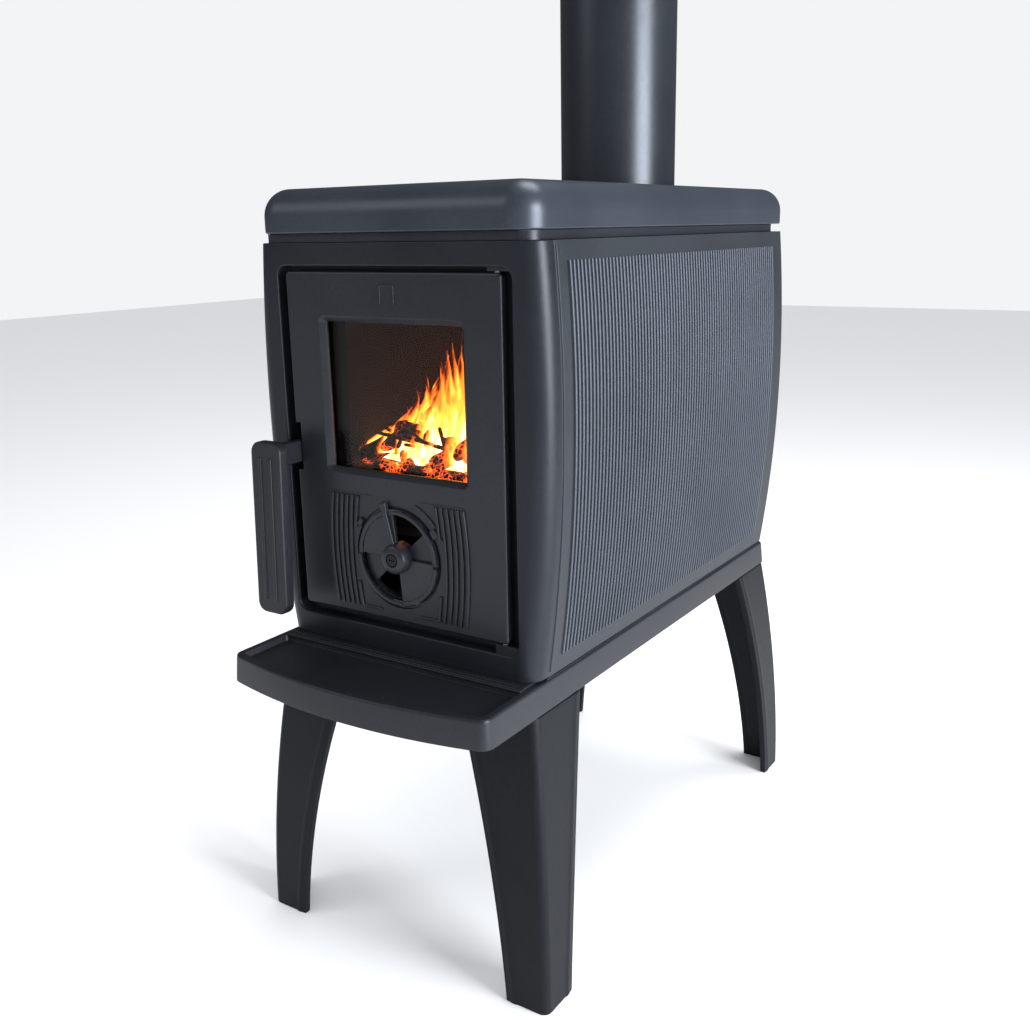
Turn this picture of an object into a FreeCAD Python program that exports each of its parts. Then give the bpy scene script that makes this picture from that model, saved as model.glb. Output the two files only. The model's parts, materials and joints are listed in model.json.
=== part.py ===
import FreeCAD, Part
import math
import os
import re
import Sketcher

# A small cast-iron box stove on four flared legs, with a glazed door, fluted bulged sides,
# a front ash shelf and a top flue. Millimetres; x = 0 is the plane of symmetry, -Y is the
# front, z = 0 is the floor, and the origin is under the middle of the whole stove.

doc = FreeCAD.newDocument("wood_stove")
sizes = doc.addObject("Spreadsheet::Sheet", "sizes")

SIZES = {
    # the stack of castings, from the floor up
    "leg_height": 268.0,
    "tray_height": 26.0,
    "plinth_height": 2.0,
    "body_height": 362.0,
    "frame_height": 8.0,
    "lid_height": 38.0,
    "pipe_length": 250.0,
    # plan of the body, and the arc of its bulged sides
    "front_reach": 223.0,
    "rear_reach": 289.0,
    "seam_setback": 22.0,
    "bulge_width": 312.0,
    "bulge_radius": 1500.0,
    "bulge_rise": 222.0,
    "wall": 6.0,
    "front_corner": 18.0,
    # ribs on the side panels
    "rib_height": 1.3,
    "rib_width": 3.0,
    "rib_count": 75.0,
    "rib_front_margin": 20.0,
    "rib_rear_margin": 29.0,
    "rib_end_margin": 15.5,
    # lid
    "lid_width": 292.4,
    "lid_front_overhang": 3.7,
    "lid_rear_overhang": 26.7,
    "lid_wall": 10.0,
    "lid_edge": 24.0,
    "lid_corner": 26.0,
    # upper frame under the lid
    "frame_inset": 4.0,
    "frame_land": 32.0,
    # base plate with its front shelf
    "tray_width": 286.0,
    "tray_front_reach": 315.7,
    "tray_bow": 19.0,
    "tray_rear_overhang": 5.0,
    "tray_corner": 12.0,
    "tray_draft": 5.0,
    "tray_wall": 6.0,
    "shelf_depth": 6.0,
    "shelf_rim": 7.0,
    "plinth_margin": 6.0,
    # legs
    "leg_standout": 1.3,
    "leg_front_offset": 5.4,
    "leg_flare": 21.5,
    "leg_toe": 20.0,
    "leg_thickness": 7.0,
    "leg_foot_width": 43.0,
    "leg_head_width": 80.0,
    "leg_side_head_width": 76.0,
    "leg_corner": 8.0,
    "leg_lug": 8.0,
    "leg_bolt_inset": 38.0,
    "leg_bolt_radius": 4.0,
    "boss_radius": 11.0,
    # door recess and doorway in the front plate
    "recess_width": 248.8,
    "recess_bottom_margin": 22.0,
    "recess_top_margin": 19.5,
    "recess_depth": 12.0,
    "recess_corner": 10.0,
    "doorway_width": 176.0,
    "doorway_bottom_margin": 54.0,
    "doorway_top_margin": 46.0,
    # door
    "door_width": 229.4,
    "door_gap_bottom": 9.5,
    "door_gap_top": 4.3,
    "door_thickness": 7.0,
    "door_edge": 2.5,
    "window_width": 146.6,
    "window_height": 129.0,
    "window_top_drop": 42.8,
    "window_bevel": 4.5,
    "seal_width": 8.0,
    "seal_height": 7.0,
    "seal_margin": 4.0,
    "seal_gap": 0.3,
    # glass and its fixings
    "glass_overlap": 8.5,
    "glass_thickness": 4.0,
    "gasket_thickness": 2.0,
    "gasket_width": 6.0,
    "clip_thickness": 1.5,
    "clip_width": 12.0,
    "clip_spread": 58.0,
    "clip_screw_radius": 2.5,
    # hinge
    "hinge_inset": 5.7,
    "hinge_setback": 4.5,
    "hinge_pin_radius": 2.5,
    "running_clearance": 0.05,
    "hinge_grip": 18.0,
    "lug_clearance": 1.0,
    # handle lever
    "paddle_width": 36.0,
    "paddle_centre": 120.0,
    "paddle_length": 159.5,
    "paddle_thickness": 12.0,
    "paddle_standoff": 35.0,
    "paddle_rake": 6.0,
    "paddle_corner": 10.0,
    "pivot_drop": 161.2,
    "pivot_setback": 14.5,
    "stem_width": 9.5,
    "stem_height": 20.0,
    "stem_centre": 114.25,
    "eye_radius": 7.0,
    "pivot_pin_radius": 3.0,
    "notch_depth": 7.0,
    "notch_below": 17.0,
    "notch_above": 27.0,
    "latch_pocket_depth": 19.0,
    # air regulator
    "disc_radius": 44.2,
    "disc_thickness": 4.0,
    "disc_rise": 60.0,
    "disc_seat_depth": 2.0,
    "disc_groove": 2.8,
    "disc_port_outer": 38.0,
    "disc_port_inner": 15.0,
    "hub_radius": 13.5,
    "hub_height": 8.0,
    "disc_screw_radius": 3.0,
    # ornamental bars beside the air regulator
    "bar_height": 104.0,
    "bar_bulge": 4.0,
    "bar_width": 2.0,
    "bar_relief": 1.5,
    "bar_outer": 77.0,
    "bar_pitch": 5.9,
    # fire bed and linings
    "hearth_rise": 98.0,
    "hearth_thickness": 8.0,
    "hearth_width": 236.0,
    "hearth_skirt": 6.0,
    "liner_thickness": 22.0,
    "liner_height": 192.0,
    "liner_rear_thickness": 20.0,
    "liner_front_setback": 55.0,
    "baffle_thickness": 12.0,
    "baffle_front_gap": 53.0,
    "grate_width": 120.0,
    "grate_length": 240.0,
    "grate_thickness": 14.0,
    "grate_clearance": 2.0,
    "grate_ledge": 6.0,
    "retainer_thickness": 6.0,
    "retainer_height": 46.0,
    "pan_width": 160.0,
    "pan_length": 350.0,
    "pan_height": 52.0,
    "pan_wall": 2.0,
    # tie rods
    "rod_radius": 4.0,
    "rod_spread": 248.0,
    "rod_setback": 45.0,
    "rod_rear_setback": 17.0,
    "nut_radius": 7.0,
    "nut_height": 6.5,
    # flue
    "flue_centre": 182.0,
    "pipe_radius": 62.0,
    "pipe_seat_depth": 2.0,
    "pipe_wall": 2.0,
    "spigot_clearance": 0.3,
    "spigot_wall": 4.0,
    "spigot_height": 35.0,
    "collar_flange": 75.0,
    "collar_thickness": 8.0,
    "collar_bolt_circle": 68.0,
    "collar_bolt_radius": 3.0,
}

# Heights, planes and centres worked out from the sizes, spelled as formulas over them.
DERIVED = {
    "deck": "leg_height + tray_height",
    "body_bottom": "deck + plinth_height",
    "body_top": "body_bottom + body_height",
    "lid_bottom": "body_top + frame_height",
    "lid_top": "lid_bottom + lid_height",
    "deck_bottom": "deck - tray_wall",
    "face": "-front_reach",
    "seam": "seam_setback - front_reach",
    "bulge_level": "body_bottom + bulge_rise",
    "bulge_half": "bulge_width / 2",
    "lid_half": "lid_width / 2",
    "lid_front": "face - lid_front_overhang",
    "lid_rear": "rear_reach + lid_rear_overhang",
    "tray_half": "tray_width / 2",
    "tray_rear": "rear_reach + tray_rear_overhang",
    "leg_outer": "tray_half + leg_standout",
    "leg_front": "face - leg_front_offset",
    "leg_rear": "tray_rear",
    "leg_bolt_x": "leg_outer - leg_bolt_inset",
    "leg_bolt_front": "leg_front + leg_bolt_inset",
    "leg_bolt_rear": "leg_rear - leg_bolt_inset",
    "recess_half": "recess_width / 2",
    "recess_bottom": "body_bottom + recess_bottom_margin",
    "recess_top": "body_top - recess_top_margin",
    "ledge": "face + recess_depth",
    "ledge_back": "ledge + wall",
    "doorway_half": "doorway_width / 2",
    "doorway_bottom": "body_bottom + doorway_bottom_margin",
    "doorway_top": "body_top - doorway_top_margin",
    "door_half": "door_width / 2",
    "door_bottom": "recess_bottom + door_gap_bottom",
    "door_top": "recess_top - door_gap_top",
    "door_back": "face + door_thickness",
    "window_half": "window_width / 2",
    "window_top": "door_top - window_top_drop",
    "window_bottom": "window_top - window_height",
    "glass_half": "window_half + glass_overlap",
    "glass_bottom": "window_bottom - glass_overlap",
    "glass_top": "window_top + glass_overlap",
    "gasket_back": "door_back + gasket_thickness",
    "glass_back": "gasket_back + glass_thickness",
    "clip_back": "glass_back + clip_thickness",
    "clip_low": "glass_bottom - 6",
    "clip_high": "glass_top + 6",
    "seal_inner": "doorway_half + seal_margin",
    "seal_outer": "seal_inner + seal_width",
    "seal_bottom": "doorway_bottom - seal_margin",
    "seal_top": "doorway_top + seal_margin",
    "seal_back": "ledge - seal_gap",
    "hinge_x": "door_half - hinge_inset",
    "hinge_y": "face + hinge_setback",
    "pivot_y": "face + pivot_setback",
    "pivot_z": "door_top - pivot_drop",
    "stem_left": "-stem_centre - stem_width / 2",
    "stem_right": "-stem_centre + stem_width / 2",
    "notch_edge": "-door_half + notch_depth",
    "notch_low": "pivot_z - notch_below",
    "notch_high": "pivot_z + notch_above",
    "pocket_back": "ledge + latch_pocket_depth",
    "pocket_right": "-seal_outer - 0.5",
    "disc_level": "door_bottom + disc_rise",
    "disc_back": "face + disc_seat_depth - 0.1",
    "disc_face": "disc_back - disc_thickness",
    "hub_face": "disc_face - hub_height",
    "hearth_top": "body_bottom + hearth_rise + hearth_thickness",
    "hearth_half": "hearth_width / 2",
    "fire_front": "face + liner_front_setback",
    "fire_rear": "rear_reach - wall - liner_rear_thickness - 1",
    "fire_half": "hearth_half - liner_thickness",
    "liner_top": "hearth_top + liner_height",
    "rod_x": "rod_spread / 2",
    "rod_front": "face + rod_setback",
    "rod_rear": "rear_reach - rod_rear_setback",
    "pipe_inner": "pipe_radius - pipe_wall",
    "spigot_radius": "pipe_inner - spigot_clearance",
    "spigot_inner": "spigot_radius - spigot_wall",
    "lid_ceiling": "lid_top - lid_wall",
}


def fill_sheet():
    for row, (alias, number) in enumerate(SIZES.items(), start=1):
        sizes.set(f"A{row}", alias)
        sizes.set(f"B{row}", str(number))
        sizes.setAlias(f"B{row}", alias)
    doc.recompute()


def spell(formula):
    """A formula over plain size names, as an expression over the sheet."""
    def word(match):
        name = match.group(0)
        if name in DERIVED:
            return "(" + spell(DERIVED[name]) + ")"
        return "sizes." + name if name in SIZES else name
    return re.sub(r"[a-z][a-z_]*", word, formula)


def value(formula):
    return float(sizes.evalExpression(spell(formula)))


def bind(thing, name, formula):
    thing.setExpression(name, spell(formula))


def place(thing, x, y, z):
    for letter, formula in zip("xyz", (x, y, z)):
        bind(thing, f"Placement.Base.{letter}", formula)


# Turns that lay a cylinder's or prism's own Z axis along another axis.
TURNS = {
    "X": FreeCAD.Rotation(FreeCAD.Vector(0, 1, 0), 90),
    "Y": FreeCAD.Rotation(FreeCAD.Vector(1, 0, 0), -90),
    "Z": FreeCAD.Rotation(),
}


def span(thing, x, y, z):
    """Bind a box to three (low, high) pairs of formulas."""
    for name, (low, high) in zip(("Length", "Width", "Height"), (x, y, z)):
        bind(thing, name, f"({high}) - ({low})")
    place(thing, x[0], y[0], z[0])
    return thing


def block(name, x, y, z):
    return span(doc.addObject("Part::Box", name), x, y, z)


def turn_round(thing, axis, at, low, high, radius):
    """Bind a cylinder or prism along an axis; at holds the two other coordinates in order."""
    bind(thing, "Radius" if hasattr(thing, "Radius") else "Circumradius", radius)
    bind(thing, "Height", f"({high}) - ({low})")
    thing.Placement = FreeCAD.Placement(FreeCAD.Vector(), TURNS[axis])
    base = list(at)
    base.insert("XYZ".index(axis), low)
    place(thing, *base)
    return thing


def rod(name, axis, at, low, high, radius):
    return turn_round(doc.addObject("Part::Cylinder", name), axis, at, low, high, radius)


def hexagon(name, axis, at, low, high, radius):
    return turn_round(doc.addObject("Part::Prism", name), axis, at, low, high, radius)


def cut(name, base, *tools):
    result = doc.addObject("Part::Cut", name)
    result.Base = base
    result.Tool = tools[0] if len(tools) == 1 else fuse(name + "_tools", *tools)
    return result


def fuse(name, *parts):
    result = doc.addObject("Part::MultiFuse", name)
    result.Shapes = list(parts)
    return result


def group(name, *parts):
    result = doc.addObject("Part::Compound", name)
    result.Links = list(parts)
    return result


def new_body(name):
    return doc.addObject("PartDesign::Body", name)


def add_box(body, name, x, y, z):
    return span(body.newObject("PartDesign::AdditiveBox", name), x, y, z)


def cut_box(body, name, x, y, z):
    return span(body.newObject("PartDesign::SubtractiveBox", name), x, y, z)


def add_rod(body, name, axis, at, low, high, radius):
    solid = body.newObject("PartDesign::AdditiveCylinder", name)
    return turn_round(solid, axis, at, low, high, radius)


def cut_rod(body, name, axis, at, low, high, radius):
    solid = body.newObject("PartDesign::SubtractiveCylinder", name)
    return turn_round(solid, axis, at, low, high, radius)


def sketch_on(body, role, name, offset):
    """A sketch on one of the body's own origin planes, moved along the plane's normal."""
    sketch = body.newObject("Sketcher::SketchObject", name)
    plane = [item for item in body.Origin.OriginFeatures if item.Role == role][0]
    sketch.AttachmentSupport = (plane, [""])
    sketch.MapMode = "FlatFace"
    bind(sketch, "AttachmentOffset.Base.z", offset)
    return sketch


def pin_down(sketch, kind, where, formula):
    """A driving constraint whose value follows a formula."""
    number = value(formula)
    index = sketch.addConstraint(Sketcher.Constraint(kind, *where, number))
    bind(sketch, f"Constraints[{index}]", formula)


def at_point(sketch, geometry, point, x, y):
    pin_down(sketch, "DistanceX", (-1, 1, geometry, point), x)
    pin_down(sketch, "DistanceY", (-1, 1, geometry, point), y)


def polygon(sketch, corners):
    """A closed outline through corners given as pairs of formulas."""
    points = [FreeCAD.Vector(value(x), value(y), 0) for x, y in corners]
    edges = []
    for index, point in enumerate(points):
        line = Part.LineSegment(point, points[(index + 1) % len(points)])
        edges.append(sketch.addGeometry(line, False))
    for index, edge in enumerate(edges):
        following = edges[(index + 1) % len(edges)]
        sketch.addConstraint(Sketcher.Constraint("Coincident", edge, 2, following, 1))
    for edge, (x, y) in zip(edges, corners):
        at_point(sketch, edge, 1, x, y)


def arc_between(centre, start, end):
    """The short arc about a centre, anticlockwise from start to end."""
    first = math.atan2(start[1] - centre[1], start[0] - centre[0])
    last = math.atan2(end[1] - centre[1], end[0] - centre[0])
    radius = math.dist(centre, start)
    circle = Part.Circle(FreeCAD.Vector(*centre, 0), FreeCAD.Vector(0, 0, 1), radius)
    return Part.ArcOfCircle(circle, first, last)


def arc_band(sketch, side, outer, centre_x, centre_y, radius, inner_radius, low, high):
    """A strip between two arcs of one centre, cut off level at two heights."""
    cx, cy = value(centre_x) * side, value(centre_y)
    ends = []
    for formula in (radius, inner_radius):
        r = value(formula)
        heights = (value(low), value(high))
        reach = [math.sqrt(r * r - (height - cy) ** 2) for height in heights]
        ends.append([(cx + side * x, height) for x, height in zip(reach, heights)])
    arcs = []
    for (bottom, top), formula in zip(ends, (radius, inner_radius)):
        pair = (bottom, top) if side > 0 else (top, bottom)
        arcs.append(sketch.addGeometry(arc_between((cx, cy), *pair), False))
        pin_down(sketch, "Radius", (arcs[-1],), formula)
    first, last = (1, 2) if side > 0 else (2, 1)
    for index, point, height in ((0, first, low), (1, last, high)):
        a, b = ends[0][index], ends[1][index]
        line = Part.LineSegment(FreeCAD.Vector(*a, 0), FreeCAD.Vector(*b, 0))
        edge = sketch.addGeometry(line, False)
        sketch.addConstraint(Sketcher.Constraint("Coincident", arcs[0], point, edge, 1))
        sketch.addConstraint(Sketcher.Constraint("Coincident", arcs[1], point, edge, 2))
        sketch.addConstraint(Sketcher.Constraint("Horizontal", edge))
        pin_down(sketch, "DistanceY", (-1, 1, edge, 1), height)
    sketch.addConstraint(Sketcher.Constraint("Coincident", arcs[0], 3, arcs[1], 3))
    at_point(sketch, arcs[0], 3, f"{side} * ({centre_x})", centre_y)


def side_band(sketch, side, outer, inner, low, high):
    """A strip of the body's bulged side; outer and inner are depths below its surface."""
    arc_band(
        sketch, side, outer, "bulge_half - bulge_radius", "bulge_level",
        f"bulge_radius - ({outer})", f"bulge_radius - ({inner})", low, high,
    )


def bulged_outline(sketch, depth, low, high):
    """The body's cross-section, drawn a given depth inside its outer surface."""
    radius = value(f"bulge_radius - ({depth})")
    centre = value("bulge_radius - bulge_half")
    level = value("bulge_level")
    heights = (value(low), value(high))
    reach = [math.sqrt(radius**2 - (height - level) ** 2) - centre for height in heights]
    arcs = []
    for side in (1, -1):
        points = [(side * x, height) for x, height in zip(reach, heights)]
        pair = points if side > 0 else points[::-1]
        arcs.append(sketch.addGeometry(arc_between((-side * centre, level), *pair), False))
        pin_down(sketch, "Radius", (arcs[-1],), f"bulge_radius - ({depth})")
        at_point(sketch, arcs[-1], 3, f"{-side} * (bulge_radius - bulge_half)", "bulge_level")
    for index, (right, left), height in ((0, (1, 2), low), (1, (2, 1), high)):
        start = FreeCAD.Vector(reach[index], heights[index], 0)
        line = Part.LineSegment(start, FreeCAD.Vector(-reach[index], heights[index], 0))
        edge = sketch.addGeometry(line, False)
        sketch.addConstraint(Sketcher.Constraint("Coincident", arcs[0], right, edge, 1))
        sketch.addConstraint(Sketcher.Constraint("Coincident", arcs[1], left, edge, 2))
        sketch.addConstraint(Sketcher.Constraint("Horizontal", edge))
        pin_down(sketch, "DistanceY", (-1, 1, edge, 1), height)


def sector(sketch, x, y, inner, outer, start, end):
    """A piece of a ring about (x, y) between two angles in degrees."""
    cx, cy = value(x), value(y)
    angles = [math.radians(start), math.radians(end)]
    arcs = []
    for formula in (inner, outer):
        radius = value(formula)
        circle = Part.Circle(FreeCAD.Vector(cx, cy, 0), FreeCAD.Vector(0, 0, 1), radius)
        arcs.append(sketch.addGeometry(Part.ArcOfCircle(circle, *angles), False))
        pin_down(sketch, "Radius", (arcs[-1],), formula)
    sketch.addConstraint(Sketcher.Constraint("Coincident", arcs[0], 3, arcs[1], 3))
    for point, angle in ((1, angles[0]), (2, angles[1])):
        ends = []
        for formula in (inner, outer):
            radius = value(formula)
            ends.append(FreeCAD.Vector(cx + radius * math.cos(angle), cy + radius * math.sin(angle), 0))
        edge = sketch.addGeometry(Part.LineSegment(*ends), False)
        sketch.addConstraint(Sketcher.Constraint("Coincident", arcs[0], point, edge, 1))
        sketch.addConstraint(Sketcher.Constraint("Coincident", arcs[1], point, edge, 2))
        sketch.addConstraint(Sketcher.Constraint("Angle", -1, 1, edge, 1, angle))
    at_point(sketch, arcs[0], 3, x, y)


def pad(body, sketch, length, backwards=False):
    feature = body.newObject("PartDesign::Pad", sketch.Name + "_pad")
    feature.Profile = sketch
    bind(feature, "Length", length)
    feature.Reversed = backwards
    return feature


def pocket(body, sketch, length, backwards=False):
    feature = body.newObject("PartDesign::Pocket", sketch.Name + "_pocket")
    feature.Profile = sketch
    bind(feature, "Length", length)
    feature.Reversed = backwards
    return feature


def named_edges(shape, test):
    return [f"Edge{number}" for number, edge in enumerate(shape.Edges, start=1) if test(edge)]


def fillet(body, name, radius, test):
    doc.recompute()
    base = body.Tip
    feature = body.newObject("PartDesign::Fillet", name)
    feature.Base = (base, named_edges(base.Shape, test))
    bind(feature, "Radius", radius)
    return feature


def chamfer(body, name, size, test):
    doc.recompute()
    base = body.Tip
    feature = body.newObject("PartDesign::Chamfer", name)
    feature.Base = (base, named_edges(base.Shape, test))
    bind(feature, "Size", size)
    return feature


def close(a, b, within=0.05):
    return abs(a - b) < within


def runs_along(edge, axis):
    """True for a straight edge parallel to an axis."""
    extent = [edge.BoundBox.XLength, edge.BoundBox.YLength, edge.BoundBox.ZLength]
    extent.pop("XYZ".index(axis))
    return max(extent) < 0.01


NODES = []


def keep(thing, label):
    thing.Label = label
    NODES.append(thing)


def base_plate():
    """Cast tray: the deck under the body and the bowed, dished ash shelf in front of it."""
    body = new_body("base_plate_body")

    def outline(sketch, inset, front, rear):
        half, bow, corner = value(f"tray_half - ({inset})"), value("tray_bow"), value(front)
        line_points = [(-half, corner), (-half, value(rear)), (half, value(rear)), (half, corner)]
        lines = []
        for start, end in zip(line_points, line_points[1:]):
            line = Part.LineSegment(FreeCAD.Vector(*start, 0), FreeCAD.Vector(*end, 0))
            lines.append(sketch.addGeometry(line, False))
        radius = (half**2 + bow**2) / (2 * bow)
        centre = (0.0, corner - bow + radius)
        arc = sketch.addGeometry(arc_between(centre, (-half, corner), (half, corner)), False)
        for first, second in zip(lines, lines[1:]):
            sketch.addConstraint(Sketcher.Constraint("Coincident", first, 2, second, 1))
        sketch.addConstraint(Sketcher.Constraint("Coincident", arc, 1, lines[0], 1))
        sketch.addConstraint(Sketcher.Constraint("Coincident", arc, 2, lines[2], 2))
        at_point(sketch, lines[0], 1, f"({inset}) - tray_half", front)
        at_point(sketch, lines[0], 2, f"({inset}) - tray_half", rear)
        at_point(sketch, lines[2], 1, f"tray_half - ({inset})", rear)
        at_point(sketch, lines[2], 2, f"tray_half - ({inset})", front)
        pin_down(sketch, "Radius", (arc,), f"((tray_half - ({inset})) ^ 2 + tray_bow ^ 2) / (2 * tray_bow)")

    front = "tray_bow - tray_front_reach"
    tray = sketch_on(body, "XY_Plane", "tray", "leg_height")
    outline(tray, "0", front, "tray_rear")
    slab = pad(body, tray, "tray_height")
    bind(slab, "TaperAngle", "-tray_draft")
    fillet(body, "tray_corners", "tray_corner", lambda edge: edge.BoundBox.ZLength > value("tray_height") - 0.1
           and edge.CenterOfMass.y < value("face"))
    fillet(body, "tray_rim", "tray_wall / 3", lambda edge: close(edge.BoundBox.ZMin, value("deck")))
    hollow = sketch_on(body, "XY_Plane", "hollow", "leg_height")
    outline(hollow, "tray_wall + 2", f"{front} + tray_wall", "tray_rear - tray_wall - 2")
    pocket(body, hollow, "tray_height - tray_wall - shelf_depth", backwards=True)
    deck_hollow = ("fire_front - 40", "tray_rear - tray_wall - 2")
    hollow_half = "tray_half - tray_wall - 2"
    cut_box(body, "deck_hollow", (f"-({hollow_half})", hollow_half), deck_hollow, ("leg_height", "deck_bottom"))
    shelf = sketch_on(body, "XY_Plane", "shelf", "deck")
    outline(shelf, "shelf_rim + 3", f"{front} + shelf_rim + 3", "face - plinth_margin - 5")
    pocket(body, shelf, "shelf_depth")
    half = "bulge_half - 22"
    add_box(body, "plinth", (f"-({half})", half), ("face - plinth_margin", "rear_reach + 1"),
            ("deck", "body_bottom"))
    for side in (-1, 1):
        tag = "left" if side < 0 else "right"
        for end in ("front", "rear"):
            at = (f"{side} * leg_bolt_x", f"leg_bolt_{end}")
            add_rod(body, f"leg_boss_{tag}_{end}", "Z", at, "leg_height", "deck_bottom", "boss_radius")
            cut_rod(body, f"leg_thread_{tag}_{end}", "Z", at, "leg_height", "deck_bottom", "leg_bolt_radius")
            hole = (f"{side} * rod_x", f"rod_{end}")
            cut_rod(body, f"rod_hole_{tag}_{end}", "Z", hole, "leg_height", "body_bottom", "rod_radius + 0.5")
    keep(body, "base_plate")


def leg_curve(top, bottom, sign):
    """The flared line of a leg, in a plane: vertical at the floor and flaring in towards its head."""
    height = value("leg_height")
    toe = value("leg_toe")
    flare = value("leg_flare")
    spread = (height + toe) ** 2 - toe**2

    def reach(z):
        return flare * (1 - ((z + toe) ** 2 - toe**2) / spread)
    levels = (bottom, (bottom + top) / 2, top)
    return [(sign * reach(z), z) for z in levels]


def leg(side, end):
    """An angle casting that flares in both directions, with a lug for its bolt."""
    height, thick = value("leg_height"), value("leg_thickness")
    outer_x = value("leg_outer")
    front_y = value("leg_front") if end == "front" else value("leg_rear")
    ahead = -1 if end == "front" else 1
    foot = value("leg_foot_width")

    def flange(origin, sign, width_at_head, plane):
        """Outlines, in one upright plane, of a flange seen broadside and seen on its edge."""
        outer = [(origin + x, z) for x, z in leg_curve(height, 0, sign)]
        skin = [(x - sign * thick, z) for x, z in outer]
        widths = (foot, foot + (width_at_head - foot) / 4, width_at_head)
        inner = [(x - sign * width, z) for (x, z), width in zip(outer, widths)]
        return [close_outline(outer, line, plane) for line in (inner, skin)]

    def close_outline(outer, inner, plane):
        def point(pair):
            if plane == "XZ":
                return FreeCAD.Vector(pair[0], 0, pair[1])
            return FreeCAD.Vector(0, pair[0], pair[1])
        a, b = [point(pair) for pair in outer], [point(pair) for pair in inner]
        edges = [Part.Arc(*a).toShape(), Part.LineSegment(a[2], b[2]).toShape(),
                 Part.Arc(*b[::-1]).toShape(), Part.LineSegment(b[0], a[0]).toShape()]
        return Part.Face(Part.Wire(edges))

    broad_x, edge_x = flange(side * outer_x, side, value("leg_head_width"), "XZ")
    broad_y, edge_y = flange(front_y, ahead, value("leg_side_head_width"), "YZ")
    far = 2 * value("tray_front_reach")
    across = [face.translated(FreeCAD.Vector(0, -far, 0)).extrude(FreeCAD.Vector(0, 2 * far, 0))
              for face in (broad_x, edge_x)]
    along = [face.translated(FreeCAD.Vector(-far, 0, 0)).extrude(FreeCAD.Vector(2 * far, 0, 0))
             for face in (broad_y, edge_y)]
    shape = across[0].common(along[1]).fuse(across[1].common(along[0])).removeSplitter()
    corner = [edge for edge in shape.Edges if edge.BoundBox.ZLength > height - 1
              and abs(edge.CenterOfMass.x) > outer_x and ahead * edge.CenterOfMass.y > ahead * front_y]
    shape = shape.makeFillet(value("leg_corner"), corner)
    lug = value("leg_lug")
    inset = value("leg_bolt_inset")
    wide = inset + 14 - thick / 2
    x0, y0 = side * (outer_x - thick / 2), front_y - ahead * thick / 2
    plate = Part.makeBox(wide, wide, lug, FreeCAD.Vector(min(x0, x0 - side * wide), min(y0, y0 - ahead * wide),
                                                         height - lug))
    hole = Part.makeCylinder(value("leg_bolt_radius") + 0.5, lug,
                             FreeCAD.Vector(side * value("leg_bolt_x"), front_y - ahead * inset, height - lug))
    shape = shape.fuse(plate).removeSplitter().cut(hole)
    tag = "left" if side < 0 else "right"
    feature = doc.addObject("Part::Feature", f"leg_{end}_{tag}_casting")
    feature.Shape = shape
    feature.Placement = FreeCAD.Placement()
    keep(feature, f"leg_{end}_{tag}")


def leg_bolts():
    bolts = []
    for side in (-1, 1):
        for end in ("front", "rear"):
            name = f"leg_bolt_{'left' if side < 0 else 'right'}_{end}"
            at = (f"{side} * leg_bolt_x", f"leg_bolt_{end}")
            seat = "leg_height - leg_lug"
            head = hexagon(name + "_head", "Z", at, f"{seat} - 5.5", seat, "leg_bolt_radius * 1.8")
            shank = rod(name + "_shank", "Z", at, seat, "deck_bottom - 4", "leg_bolt_radius")
            bolts.append(fuse(name, head, shank))
    keep(group("leg_bolt_set", *bolts), "leg_bolts")


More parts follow.
